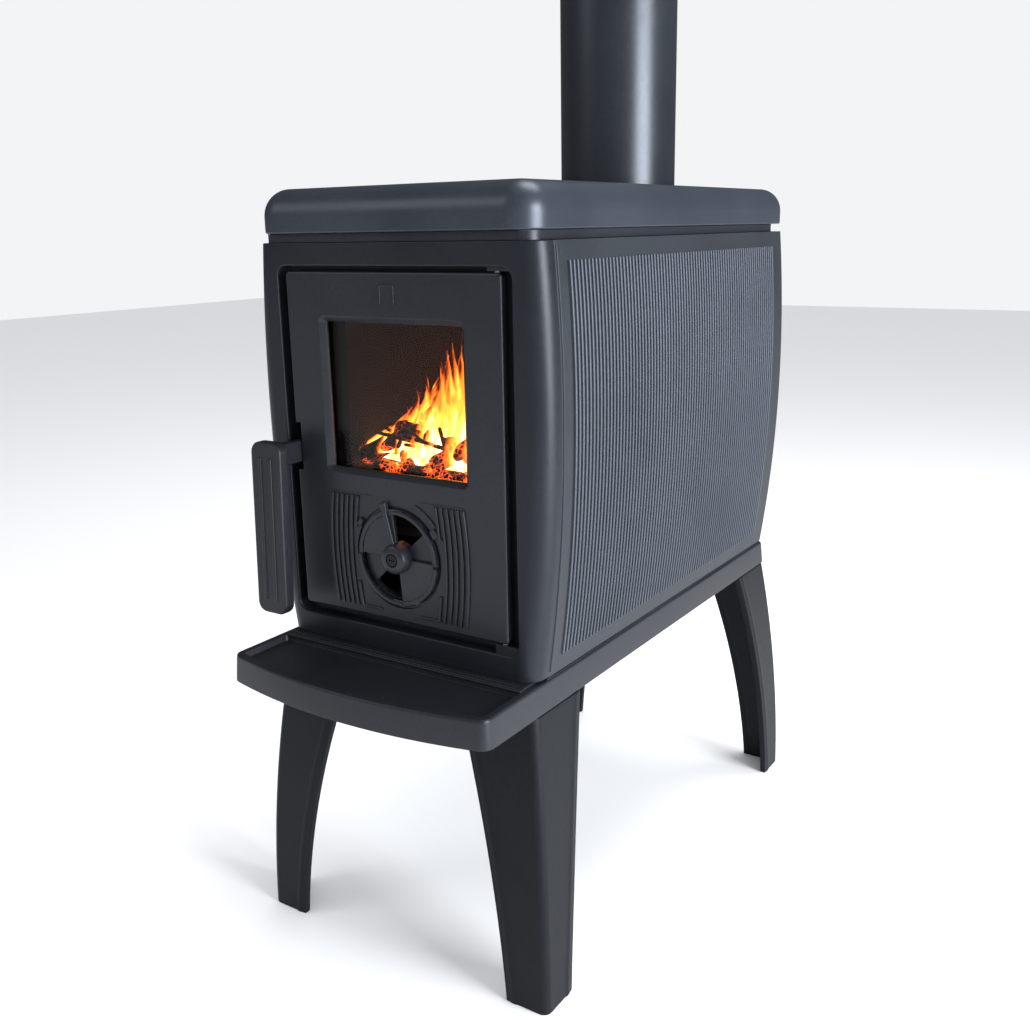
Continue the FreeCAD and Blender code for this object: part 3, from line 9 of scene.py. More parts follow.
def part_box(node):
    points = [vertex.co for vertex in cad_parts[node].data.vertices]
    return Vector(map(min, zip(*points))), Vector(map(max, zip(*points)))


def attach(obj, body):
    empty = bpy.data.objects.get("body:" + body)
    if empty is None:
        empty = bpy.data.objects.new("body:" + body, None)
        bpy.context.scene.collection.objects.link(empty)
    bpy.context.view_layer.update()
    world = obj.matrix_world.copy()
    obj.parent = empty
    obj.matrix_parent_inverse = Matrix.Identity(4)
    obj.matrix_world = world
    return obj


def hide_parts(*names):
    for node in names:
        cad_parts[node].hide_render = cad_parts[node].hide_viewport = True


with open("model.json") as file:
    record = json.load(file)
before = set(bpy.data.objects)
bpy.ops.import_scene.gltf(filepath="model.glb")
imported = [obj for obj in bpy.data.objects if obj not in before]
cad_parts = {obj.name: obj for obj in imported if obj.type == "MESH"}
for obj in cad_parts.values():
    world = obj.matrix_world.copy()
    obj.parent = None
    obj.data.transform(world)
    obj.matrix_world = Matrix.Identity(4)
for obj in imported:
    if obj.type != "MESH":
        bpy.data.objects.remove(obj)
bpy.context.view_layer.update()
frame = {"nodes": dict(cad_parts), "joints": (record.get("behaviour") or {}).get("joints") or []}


# ---------------------------------------------------------------------------------------
# Side panels. Bulged cast-iron walls with upright rounded ribs inside a plain border, and
# a bead along the front edge. They are sand-cast and sprayed with matt graphite stove paint.

MM = 0.001
RIBS = 75
RIB_WIDTH = 3.0 * MM
RIB_PROUD = 1.3 * MM
RIB_FRONT_MARGIN = 20 * MM
RIB_REAR_MARGIN = 29 * MM
RIB_END_MARGIN = 15.5 * MM
BULGE_RADIUS = 1500 * MM
BULGE_RISE = 222 * MM
WALL = 6 * MM

panel_low, panel_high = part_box("side_panel_right")
body_low_z, body_high_z = panel_low.z, panel_high.z
seam_y, rear_y = panel_low.y, panel_high.y
bulge_z = body_low_z + BULGE_RISE
bulge_half = panel_high.x - RIB_PROUD
bulge_axis_x = bulge_half - BULGE_RADIUS


def fill_sockets(tree, node, sockets):
    """Gives a node's sockets their numbers and colours, or links them to other nodes."""
    for socket, value in sockets.items():
        if isinstance(value, bpy.types.NodeSocket):
            tree.links.new(value, node.inputs[socket])
        else:
            node.inputs[socket].default_value = value


def add_node(tree, kind, sockets=None, **settings):
    node = tree.nodes.new("ShaderNode" + kind)
    for setting, value in settings.items():
        setattr(node, setting, value)
    fill_sockets(tree, node, sockets or {})
    return node


def maths(tree, operation, *values, use_clamp=False):
    return add_node(tree, "Math", dict(enumerate(values)), operation=operation, use_clamp=use_clamp).outputs[0]


def texture(tree, kind, sockets, **settings):
    """A texture that stays fixed to the piece."""
    place = add_node(tree, "TexCoord").outputs["Object"]
    return add_node(tree, "Tex" + kind, {"Vector": place, **sockets}, **settings)


def stove_paint_group():
    """Colour, roughness and relief of matt graphite paint over sand-cast iron."""
    group = bpy.data.node_groups.new("graphite_paint_on_casting", "ShaderNodeTree")
    sockets = group.interface
    sockets.new_socket("Colour", in_out="INPUT", socket_type="NodeSocketColor")
    for name, default in (("Grain", 900.0), ("Roughness", 0.5), ("Unevenness", 0.5), ("Dust", 0.1)):
        sockets.new_socket(name, in_out="INPUT", socket_type="NodeSocketFloat").default_value = default
    sockets.new_socket("Colour", in_out="OUTPUT", socket_type="NodeSocketColor")
    for name in ("Roughness", "Height"):
        sockets.new_socket(name, in_out="OUTPUT", socket_type="NodeSocketFloat")
    given = group.nodes.new("NodeGroupInput").outputs
    sand = texture(group, "Noise", {"Scale": given["Grain"], "Detail": 2.0}).outputs["Fac"]
    pitted = texture(group, "Noise", {"Scale": 260.0, "Detail": 3.0}).outputs["Fac"]
    patches = texture(group, "Noise", {"Scale": 9.0, "Detail": 3.0}).outputs["Fac"]
    sand_shift, pit_shift, patch_shift = (
        maths(group, "SUBTRACT", value, 0.5) for value in (sand, pitted, patches))
    shade = maths(group, "MULTIPLY_ADD", patch_shift, given["Unevenness"], 1.0)
    speckle = maths(group, "MULTIPLY_ADD", sand_shift, 0.5, shade)
    colour = add_node(group, "VectorMath", {0: given["Colour"], "Scale": speckle}, operation="SCALE").outputs[0]
    dust = maths(group, "MULTIPLY", maths(group, "SMOOTH_MIN", pitted, patches, 0.2), given["Dust"])
    dusty = add_node(group, "Mix", {"Factor": dust, 6: colour, 7: (0.16, 0.165, 0.17, 1)}, data_type="RGBA")
    dull = maths(group, "MULTIPLY_ADD", patch_shift, 0.18, given["Roughness"])
    fill_sockets(group, group.nodes.new("NodeGroupOutput"), {
        "Colour": dusty.outputs[2],
        "Roughness": maths(group, "MULTIPLY_ADD", pit_shift, 0.12, dull),
        "Height": maths(group, "MULTIPLY_ADD", pitted, 0.6, sand),
    })
    return group


paint_group = stove_paint_group()


def node_material(name, **sockets):
    """A node material, its node tree and its shader, with constant shader sockets set."""
    material = bpy.data.materials.new(name)
    material.use_nodes = True
    tree = material.node_tree
    shader = tree.nodes["Principled BSDF"]
    fill_sockets(tree, shader, {socket.replace("_", " "): value for socket, value in sockets.items()})
    return material, tree, shader


def relief_from(tree, height, strength, distance):
    sockets = {"Height": height, "Strength": strength, "Distance": distance}
    return add_node(tree, "Bump", sockets).outputs["Normal"]


def painted_iron(name, colour, roughness, grain=900.0, relief=0.25, unevenness=0.5, dust=0.12, metallic=0.35,
                 gloss=0.4):
    """A material of the paint group, with its own colour, grain and depth of relief."""
    material, tree, shader = node_material(name, Metallic=metallic, Specular_IOR_Level=gloss)
    paint = tree.nodes.new("ShaderNodeGroup")
    paint.node_tree = paint_group
    fill_sockets(tree, paint, {"Colour": (*colour, 1), "Grain": grain, "Roughness": roughness,
                               "Unevenness": unevenness, "Dust": dust})
    fill_sockets(tree, shader, {
        "Base Color": paint.outputs["Colour"],
        "Roughness": paint.outputs["Roughness"],
        "Normal": relief_from(tree, paint.outputs["Height"], relief, 0.0006),
    })
    return material


def rib_highlight_and_groove_shade_paint():
    """Panel paint with painted shade in the grooves and a painted highlight along the ribs."""
    material = painted_iron("side_panel_paint", (0.0138, 0.0174, 0.0249), 0.50, grain=1100.0, relief=0.22)
    tree = material.node_tree
    shader = tree.nodes["Principled BSDF"]
    painted = shader.inputs["Base Color"].links[0].from_socket
    place = add_node(tree, "SeparateXYZ", {0: add_node(tree, "TexCoord").outputs["Object"]})
    along, up = place.outputs["Y"], place.outputs["Z"]
    turn = 2 * math.pi / rib_pitch
    wave = maths(tree, "COSINE", maths(tree, "MULTIPLY_ADD", along, turn, -turn * (first_rib + RIB_WIDTH / 2)))
    half_row = (RIBS - 1) * rib_pitch / 2
    beside = maths(tree, "COMPARE", along, first_rib + half_row, half_row + RIB_WIDTH)
    level = maths(tree, "COMPARE", up, (ribs_low + ribs_high) / 2, (ribs_high - ribs_low) / 2)
    # Painted light: the paint is scaled up to 2.9 times along the rib tops as a painted highlight, and down to
    # a quarter in the grooves as painted shade.
    shade = add_node(tree, "MapRange", {"Value": wave, "From Min": -0.4, "From Max": 0.8, "To Min": 0.25,
                                        "To Max": 2.9}).outputs["Result"]
    on_ribs = maths(tree, "MULTIPLY", beside, level)
    painted_light_amount = maths(tree, "MULTIPLY_ADD", maths(tree, "SUBTRACT", shade, 1.0), on_ribs, 1.0)
    lit_and_shaded_rib_colour = add_node(tree, "VectorMath", {0: painted, "Scale": painted_light_amount}, operation="SCALE").outputs[0]
    fill_sockets(tree, shader, {"Base Color": lit_and_shaded_rib_colour})
    return material


first_rib = seam_y + RIB_FRONT_MARGIN
rib_pitch = (rear_y - RIB_REAR_MARGIN - RIB_WIDTH - first_rib) / (RIBS - 1)
ribs_low, ribs_high = body_low_z + RIB_END_MARGIN, body_high_z - RIB_END_MARGIN
panel_paint = rib_highlight_and_groove_shade_paint()


def finish_piece(name, bm, material, body, *nodes, soft_angle=35):
    """Makes a shaped bmesh a piece of the stove that stands for some CAD nodes."""
    bmesh.ops.remove_doubles(bm, verts=bm.verts, dist=1e-6)
    bmesh.ops.recalc_face_normals(bm, faces=bm.faces)
    for face in bm.faces:
        face.smooth = True
    for edge in bm.edges:
        if len(edge.link_faces) == 2 and edge.calc_face_angle() > math.radians(soft_angle):
            edge.smooth = False
    mesh = bpy.data.meshes.new(name)
    bm.to_mesh(mesh)
    bm.free()
    mesh.materials.append(material)
    piece = bpy.data.objects.new(name, mesh)
    bpy.context.scene.collection.objects.link(piece)
    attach(piece, body)
    if nodes:
        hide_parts(*nodes)
    even = piece.modifiers.new("even_shading", "WEIGHTED_NORMAL")
    even.keep_sharp = True
    return piece


def spin_bulge(bm, geometry, side, low, high, steps):
    """Sweeps geometry drawn at height low up the arc of the body's side to height high."""
    start = math.asin((low - bulge_z) / BULGE_RADIUS)
    end = math.asin((high - bulge_z) / BULGE_RADIUS)
    centre = (side * bulge_axis_x, 0, bulge_z)
    bmesh.ops.spin(bm, geom=geometry, cent=centre, axis=(0, -side, 0), angle=end - start, steps=steps,
                   use_merge=False, use_normal_flip=False, use_duplicate=False)


def bulge_x(height, depth=0.0):
    """The half width of the body at a height, a depth inside its skin."""
    return bulge_axis_x + math.sqrt((BULGE_RADIUS - depth) ** 2 - (height - bulge_z) ** 2)


def panel_section(bm, side, height, y_low, y_high, inner, outer):
    """A rectangle across the panel's thickness, square to its skin, at a height."""
    tilt = (height - bulge_z) / BULGE_RADIUS
    corners = []
    for y, depth in ((y_low, inner), (y_high, inner), (y_high, outer), (y_low, outer)):
        reach = BULGE_RADIUS - depth
        x = bulge_axis_x + reach * math.sqrt(1 - tilt**2)
        corners.append(bm.verts.new((side * x, y, bulge_z + reach * tilt)))
    return bm.faces.new(corners)


def add_panel_strip(bm, side, y_low, y_high, low, high, inner, outer, edge, steps):
    """A swept strip of the panel with its long outer edges rounded."""
    face = panel_section(bm, side, low, y_low, y_high, inner, outer)
    before = set(bm.edges)
    spin_bulge(bm, [face, *face.edges, *face.verts], side, low, high, steps)
    upright = [e for e in bm.edges if e not in before and len(e.link_faces) == 2
               and abs(e.verts[0].co.y - e.verts[1].co.y) < 1e-7
               and abs(e.verts[0].co.z - e.verts[1].co.z) > 1e-4
               and all(abs(v.co.x) > bulge_x(v.co.z, (inner + outer) / 2) for v in e.verts)]
    bmesh.ops.bevel(bm, geom=upright, offset=edge, offset_type="OFFSET", segments=3, profile=0.5,
                    affect="EDGES", material=-1)


def side_panel(side, node):
    bm = bmesh.new()
    add_panel_strip(bm, side, seam_y, rear_y, body_low_z, body_high_z, WALL, 0, 0.8 * MM, 48)
    add_panel_strip(bm, side, seam_y + 2 * MM, seam_y + 5 * MM, body_low_z + 5 * MM, body_high_z - 5 * MM,
                    1 * MM, -1 * MM, 0.9 * MM, 40)
    rib = bmesh.new()
    face = panel_section(rib, side, ribs_low, first_rib, first_rib + RIB_WIDTH, 0.6 * MM, -RIB_PROUD)
    spin_bulge(rib, [face, *face.edges, *face.verts], side, ribs_low, ribs_high, 20)
    bmesh.ops.recalc_face_normals(rib, faces=rib.faces)
    proud = [e for e in rib.edges if all(abs(v.co.x) > bulge_x(v.co.z, -0.5 * RIB_PROUD) for v in e.verts)
             and (e.calc_length() > 4 * MM or e.verts[0].co.z == e.verts[1].co.z or len(e.link_faces) == 2)]
    rim = [e for e in proud if e.calc_face_angle(0) > 1]
    bmesh.ops.bevel(rib, geom=rim, offset=1.15 * MM, offset_type="OFFSET", segments=3, profile=0.5,
                    affect="EDGES", material=-1)
    rib_mesh = bpy.data.meshes.new("one_rib")
    rib.to_mesh(rib_mesh)
    rib.free()
    for number in range(RIBS):
        start = len(bm.verts)
        bm.from_mesh(rib_mesh)
        bm.verts.ensure_lookup_table()
        bmesh.ops.translate(bm, verts=bm.verts[start:], vec=(0, number * rib_pitch, 0))
    bpy.data.meshes.remove(rib_mesh)
    return finish_piece(node + "_casting", bm, panel_paint, "stove", node)


side_panel(-1, "side_panel_left")
side_panel(1, "side_panel_right")


# ---------------------------------------------------------------------------------------
# Base plate. A hollow cast tray: the deck that the body stands on, and in front of it the
# bowed ash shelf, dished inside a rim, with two beads across where it meets the body.

TRAY_BOW = 19 * MM
TRAY_CORNER = 12 * MM
SHELF_DEPTH = 6 * MM
TRAY_WALL = 6 * MM
PLINTH = 2 * MM
PLINTH_HALF = 134 * MM
BOLT_HEAD = 7.2 * MM
# in millimetres: how far in, and how high above the foot or how deep below the deck
TRAY_SIDE = ((1.0, 0.0), (0.3, 0.3), (0.0, 1.0), (0.9, 12.0), (1.9, 22.8), (2.2, 24.4), (2.8, 25.4),
             (4.0, 26.0))
DISH_SIDE = ((8.2, -1.0), (8.8, 0.0), (9.3, 0.25), (9.8, 0.9), (10.2, 4.6), (10.7, 5.6), (12.0, 6.0))

tray_low, tray_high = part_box("base_plate")
deck_z = tray_high.z - PLINTH
plate_front_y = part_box("front_plate")[0].y
bolt_low, bolt_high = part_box("leg_bolts")
bolt_x = bolt_high.x - BOLT_HEAD
bolt_front_y = bolt_low.y + BOLT_HEAD * math.sqrt(3) / 2
bolt_rear_y = bolt_high.y - BOLT_HEAD * math.sqrt(3) / 2
tray_paint = painted_iron("base_plate_paint", (0.0084, 0.0103, 0.0158), 0.42, grain=1000.0, relief=0.16)


def edges_where(bm, test):
    return [edge for edge in bm.edges if test(edge)]


def is_level(edge, axis, at, within=1e-5):
    return all(abs(vert.co[axis] - at) < within for vert in edge.verts)


def round_edges(bm, edges, radius, segments):
    """Rounds edges, taken in the order of their numbers."""
    bm.edges.index_update()
    edges = sorted(set(edges), key=lambda edge: edge.index)
    return bmesh.ops.bevel(bm, geom=edges, offset=radius, offset_type="OFFSET", segments=segments,
                           profile=0.5, affect="EDGES", material=-1)


def add_block(bm, low, high, edge, segments=3):
    """A closed block between two corners with rounded edges."""
    low, high = Vector(low), Vector(high)
    made = bmesh.ops.create_cube(bm, size=1)["verts"]
    bmesh.ops.scale(bm, verts=made, vec=high - low)
    bmesh.ops.translate(bm, verts=made, vec=(low + high) / 2)
    if edge:
        round_edges(bm, {e for vert in made for e in vert.link_edges}, edge, segments)


def skin(bm, rings):
    """A closed shape over rings of points with equal counts, capped at both ends."""
    loops = [[bm.verts.new(point) for point in ring] for ring in rings]
    for first, second in zip(loops, loops[1:]):
        for corners in zip(first, first[1:] + first[:1], second[1:] + second[:1], second):
            bm.faces.new(corners)
    bm.faces.new(loops[0][::-1])
    bm.faces.new(loops[-1])


def carve(bm, cutter_bm):
    """Cuts one closed shape out of another, and returns what is left."""
    pair = []
    for name, shape in (("blank", bm), ("cutter", cutter_bm)):
        bmesh.ops.recalc_face_normals(shape, faces=shape.faces)
        mesh = bpy.data.meshes.new(name)
        shape.to_mesh(mesh)
        shape.free()
        item = bpy.data.objects.new(name, mesh)
        bpy.context.scene.collection.objects.link(item)
        pair.append(item)
    modifier = pair[0].modifiers.new("carve", "BOOLEAN")
    modifier.operation = "DIFFERENCE"
    modifier.solver = "EXACT"
    modifier.object = pair[1]
    bpy.context.view_layer.update()
    carved = bpy.data.meshes.new_from_object(pair[0].evaluated_get(bpy.context.evaluated_depsgraph_get()))
    left = bmesh.new()
    left.from_mesh(carved)
    bpy.data.meshes.remove(carved)
    for item in pair:
        mesh = item.data
        bpy.data.objects.remove(item)
        bpy.data.meshes.remove(mesh)
    return left


def tray_ring(inset, z, rear_y, rear_corner=4 * MM):
    """The tray's outline a distance inside its foot: bowed front, round corners, straight rear."""
    half = tray_high.x - inset
    bow_radius = (tray_high.x**2 + TRAY_BOW**2) / (2 * TRAY_BOW)
    bow_y = tray_low.y + bow_radius
    bow_radius -= inset
    corner = max(TRAY_CORNER - inset, 2 * MM)
    corner_x = half - corner
    corner_y = bow_y - math.sqrt((bow_radius - corner) ** 2 - corner_x**2)
    reach = math.asin(corner_x / (bow_radius - corner))
    right = []
    for step in range(17):
        at = reach * step / 16
        right.append((bow_radius * math.sin(at), bow_y - bow_radius * math.cos(at)))
    for step in range(1, 9):
        at = reach + (math.pi / 2 - reach) * step / 8
        right.append((corner_x + corner * math.sin(at), corner_y - corner * math.cos(at)))
    for step in range(7):
        at = math.pi / 2 * step / 6
        right.append((half - rear_corner * (1 - math.cos(at)), rear_y - rear_corner * (1 - math.sin(at))))
    left = [(-x, y) for x, y in right[:0:-1]]
    return [(x, y, z) for x, y in right + left]


def base_plate():
    bm = bmesh.new()
    rear = tray_high.y
    foot_z = tray_low.z
    rings = [tray_ring(TRAY_WALL + 2 * MM, deck_z - SHELF_DEPTH - TRAY_WALL, rear - TRAY_WALL - 2 * MM),
             tray_ring(TRAY_WALL + 2 * MM, foot_z, rear - TRAY_WALL - 2 * MM)]
    for inset, height in TRAY_SIDE:
        rings.append(tray_ring(inset * MM, foot_z + height * MM, rear - 0.6 * inset * MM))
    skin(bm, rings)
    dish = bmesh.new()
    dish_rear = plate_front_y - 11 * MM
    rings = []
    for inset, drop in DISH_SIDE:
        rings.append(tray_ring(inset * MM, deck_z - drop * MM, dish_rear - (inset - 10) * MM, 3 * MM))
    skin(dish, rings)
    finish_piece("base_plate_casting", carve(bm, dish), tray_paint, "stove", "base_plate")

    bm = bmesh.new()
    add_block(bm, (-PLINTH_HALF, plate_front_y - 6 * MM, deck_z - MM),
              (PLINTH_HALF, rear_y + MM, deck_z + PLINTH), 0.6 * MM)
    for ahead in (7.5, 11.0):
        y = plate_front_y - ahead * MM
        add_block(bm, (-PLINTH_HALF, y - 1.3 * MM, deck_z - MM), (PLINTH_HALF, y + 1.3 * MM, deck_z + 1.2 * MM),
                  0.9 * MM)
    for side in (-1, 1):
        near, far = sorted((side * (tray_high.x - 3.6 * MM), side * (tray_high.x - 6.2 * MM)))
        add_block(bm, (near, seam_y, deck_z - MM), (far, rear_y, deck_z + 1.1 * MM), 0.9 * MM)
        for y in (bolt_front_y, bolt_rear_y):
            boss = bmesh.ops.create_cone(bm, cap_ends=True, segments=32, radius1=11 * MM, radius2=10 * MM,
                                         depth=14 * MM)["verts"]
            bmesh.ops.translate(bm, verts=boss, vec=(side * bolt_x, y, tray_low.z + 7 * MM))
    return finish_piece("base_plate_beads", bm, tray_paint, "stove")


base_plate()


# ---------------------------------------------------------------------------------------
# Legs. Four cast angles, each flaring outwards in two directions as it goes down, with a
# raised bead beside each free edge and a lug on top that bolts up into the base plate.

LEG_FLARE = 21.5 * MM
LEG_TOE = 20 * MM
LEG_THICKNESS = 7 * MM
LEG_FOOT = 43 * MM
LEG_HEAD = 80 * MM
LEG_SIDE_HEAD = 76 * MM
LEG_CORNER = 8 * MM
LEG_BEAD_IN = 8 * MM
LEG_BEAD = 0.9 * MM
LEG_LUG = 8 * MM

# Painted shade: this paint is darker than the same graphite paint on the panels, standing for the shade that
# the legs stand in.
leg_paint = painted_iron("leg_paint", (0.0050, 0.0062, 0.0090), 0.50, grain=800.0, relief=0.34, dust=0.06,
                         gloss=0.16)


def leg(side, end, node):
    low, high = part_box(node)
    height = high.z
    ahead = -1 if end == "front" else 1
    foot_x = max(abs(low.x), abs(high.x)) - LEG_BEAD
    foot_y = (low.y if ahead < 0 else high.y) - ahead * LEG_BEAD
    spread = (height + LEG_TOE) ** 2 - LEG_TOE**2

    def drop(z):
        """How far the leg's corner has come in from its foot at a height."""
        return LEG_FLARE * ((z + LEG_TOE) ** 2 - LEG_TOE**2) / spread

    def flange(z, at_head):
        share = z / height
        return LEG_FOOT + (at_head - LEG_FOOT) * (0.5 * share + 0.5 * share**2)

    steps = (0.0, 0.5 * LEG_BEAD_IN, 0.72 * LEG_BEAD_IN, LEG_BEAD_IN, 1.28 * LEG_BEAD_IN, 1.5 * LEG_BEAD_IN)
    lifts = (0.0, 0.0, 0.7 * LEG_BEAD, LEG_BEAD, 0.7 * LEG_BEAD, 0.0)
    turns = 7
    bm = bmesh.new()
    columns = 2 * (len(steps) + 1) + turns
    rows = 33
    grid = bmesh.ops.create_grid(bm, x_segments=columns - 1, y_segments=rows - 1, size=1)["verts"]
    columns_x = sorted({round(vert.co.x, 4) for vert in grid})
    for vert in grid:
        column = min(range(len(columns_x)), key=lambda i: abs(columns_x[i] - vert.co.x))
        z = (vert.co.y + 1) / 2 * height
        corner_x, corner_y = foot_x - drop(z), foot_y - ahead * drop(z)
        front_width, side_width = flange(z, LEG_HEAD), flange(z, LEG_SIDE_HEAD)
        if column < len(steps):
            x, y = corner_x - front_width + steps[column], corner_y + ahead * lifts[column]
        elif column >= columns - len(steps):
            back = columns - 1 - column
            x, y = corner_x + lifts[back], corner_y - ahead * (side_width - steps[back])
        else:
            angle = math.pi / 2 * (column - len(steps)) / (columns - 2 * len(steps) - 1)
            x = corner_x - LEG_CORNER + LEG_CORNER * math.sin(angle)
            y = corner_y - ahead * (LEG_CORNER - LEG_CORNER * math.cos(angle))
        vert.co = (side * x, y, z)
    bmesh.ops.remove_doubles(bm, verts=bm.verts, dist=1e-6)
    bmesh.ops.recalc_face_normals(bm, faces=bm.faces)
    corner = Vector((side * foot_x, foot_y, height / 2))
    middle = min(bm.faces, key=lambda f: (f.calc_center_median() - corner).length)
    if middle.normal.x * side + middle.normal.y * ahead < 0:
        bmesh.ops.reverse_faces(bm, faces=bm.faces)
    bmesh.ops.solidify(bm, geom=bm.faces[:], thickness=LEG_THICKNESS)
    bmesh.ops.recalc_face_normals(bm, faces=bm.faces)
    for vert in bm.verts:
        if vert.co.z < 0.4 * MM:
            vert.co.z = 0
        if vert.co.z > height - 0.4 * MM:
            vert.co.z = height
    rims = edges_where(bm, lambda e: e.calc_face_angle(0) > 1.0)
    round_edges(bm, rims, 1.2 * MM, 2)
    for vert in bm.verts:
        vert.co.z = min(max(vert.co.z, 0), height)
    lug_out_x, lug_out_y = abs(high.x if side > 0 else low.x) - LEG_FLARE, foot_y - ahead * LEG_FLARE
    inner_x, inner_y = lug_out_x - 52 * MM, lug_out_y - ahead * 52 * MM
    xs = sorted((side * (lug_out_x - 4 * MM), side * inner_x))
    ys = sorted((lug_out_y - ahead * 4 * MM, inner_y))
    add_block(bm, (xs[0], ys[0], height - LEG_LUG), (xs[1], ys[1], height), 1.2 * MM)
    return finish_piece(node + "_casting", bm, leg_paint, "stove", node)


leg(-1, "front", "leg_front_left")
leg(1, "front", "leg_front_right")
leg(-1, "rear", "leg_rear_left")
leg(1, "rear", "leg_rear_right")


# ---------------------------------------------------------------------------------------
# Front plate. The cast front of the body: flat in the middle and rolled round to the sides,
# with the door's recess, the ledge that the rope seal presses on, and the doorway.

FRONT_CORNER = 18 * MM
RECESS_HALF = 124.4 * MM
RECESS_DEPTH = 12 * MM
RECESS_FOOT = 22 * MM
RECESS_HEAD = 19.5 * MM
RECESS_CORNER = 10 * MM
DOORWAY_HALF = 88 * MM
DOORWAY_FOOT = 54 * MM
DOORWAY_HEAD = 46 * MM
DOOR_GAP_FOOT = 9.5 * MM
DOOR_GAP_HEAD = 4.3 * MM
LATCH_POCKET = (-RECESS_HALF + 1.5 * MM, -100.5 * MM, 452 * MM, 501 * MM)
POCKET_WALL = 3 * MM

face_y = plate_front_y
ledge_y = face_y + RECESS_DEPTH
recess_low, recess_high = body_low_z + RECESS_FOOT, body_high_z - RECESS_HEAD
door_low_z, door_high_z = recess_low + DOOR_GAP_FOOT, recess_high - DOOR_GAP_HEAD
hinge_x, hinge_y, _ = frame["joints"][0]["pos_m"]
# Painted shade: this paint is darker than the same graphite paint on the side panels, standing for the front
# lying in shade away from the side light.
front_paint = painted_iron("front_plate_paint", (0.0095, 0.0118, 0.0175), 0.40, grain=1000.0, relief=0.14,
                           dust=0.06, gloss=0.3)


def upright_ring(left, right, low, high, corner, y):
    """A rectangle with round corners, square to Y."""
    points = []
    for x, z, start in ((right - corner, high - corner, 0), (left + corner, high - corner, 90),
                        (left + corner, low + corner, 180), (right - corner, low + corner, 270)):
        for step in range(7):
            at = math.radians(start + 15 * step)
            points.append((x + corner * math.cos(at), y, z + corner * math.sin(at)))
    return points


def opening_cutter(left, right, low, high, corner, profile):
    """A shape that cuts an opening; the profile is (spread, y) pairs from the front backwards."""
    bm = bmesh.new()
    skin(bm, [upright_ring(left - s, right + s, low - s, high + s, corner + s, y) for s, y in profile])
    return bm


def front_plate():
    bm = bmesh.new()
    start = bm.verts.new((bulge_x(body_low_z), face_y, body_low_z))
    spin_bulge(bm, [start], 1, body_low_z, body_high_z, 44)
    right = sorted(bm.verts, key=lambda vert: vert.co.z)
    left = [bm.verts.new((-vert.co.x, face_y, vert.co.z)) for vert in right]
    front = bm.faces.new([*right, *reversed(left)])
    back = bmesh.ops.extrude_face_region(bm, geom=[front])["geom"]
    back = [item for item in back if isinstance(item, bmesh.types.BMVert)]
    bmesh.ops.translate(bm, verts=back, vec=(0, seam_y - face_y, 0))
    bmesh.ops.recalc_face_normals(bm, faces=bm.faces)
    rolls = edges_where(bm, lambda e: is_level(e, 1, face_y) and abs(e.verts[0].co.x) > RECESS_HALF
                        and abs(e.verts[0].co.z - e.verts[1].co.z) > 1e-4 and e.calc_face_angle(0) > 1)
    round_edges(bm, rolls, FRONT_CORNER, 9)
    ends = edges_where(bm, lambda e: (is_level(e, 2, body_low_z) or is_level(e, 2, body_high_z))
                       and e.calc_face_angle(0) > 1 and not is_level(e, 1, seam_y))
    round_edges(bm, ends, 0.8 * MM, 2)
    mouth = [(2.2 * MM, face_y - MM), (1.7 * MM, face_y), (0.9 * MM, face_y + 0.2 * MM),
             (0.3 * MM, face_y + 0.8 * MM), (0, face_y + 1.7 * MM), (0, ledge_y)]
    straight = [(0, face_y), (0, seam_y + MM)]
    for cutter in (
            opening_cutter(-RECESS_HALF, RECESS_HALF, recess_low, recess_high, RECESS_CORNER, mouth),
            opening_cutter(-DOORWAY_HALF, DOORWAY_HALF, body_low_z + DOORWAY_FOOT, body_high_z - DOORWAY_HEAD,
                           6 * MM, straight),
            opening_cutter(*LATCH_POCKET, 2 * MM, straight)):
        bm = carve(bm, cutter)
    back_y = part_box("front_plate")[1].y
    left, right, low, high = LATCH_POCKET
    wall = POCKET_WALL
    for corners in ((left - wall, left, low - wall, high + wall, seam_y - MM),
                    (right, right + wall, low - wall, high + wall, seam_y - MM),
                    (left, right, low - wall, low, seam_y - MM), (left, right, high, high + wall, seam_y - MM),
                    (left - wall, right + wall, low - wall, high + wall, back_y - wall)):
        add_block(bm, (corners[0], corners[4], corners[2]), (corners[1], back_y, corners[3]), 0)
    lug_x = (hinge_x - 8 * MM, RECESS_HALF + MM)
    for low, high in ((recess_low - MM, door_low_z - MM), (door_high_z + MM, recess_high + MM)):
        add_block(bm, (lug_x[0], face_y + 0.8 * MM, low), (lug_x[1], ledge_y + MM, high), 0.7 * MM)
    return finish_piece("front_plate_casting", bm, front_paint, "stove", "front_plate")


front_plate()


# ---------------------------------------------------------------------------------------
# Upper frame and rear wall. A flat ring ties the four walls together under the lid; the
# rear is a plain plate between the side panels.

frame_low, frame_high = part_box("upper_frame")
frame_paint = painted_iron("upper_frame_paint", (0.0116, 0.0140, 0.0215), 0.42, relief=0.12)


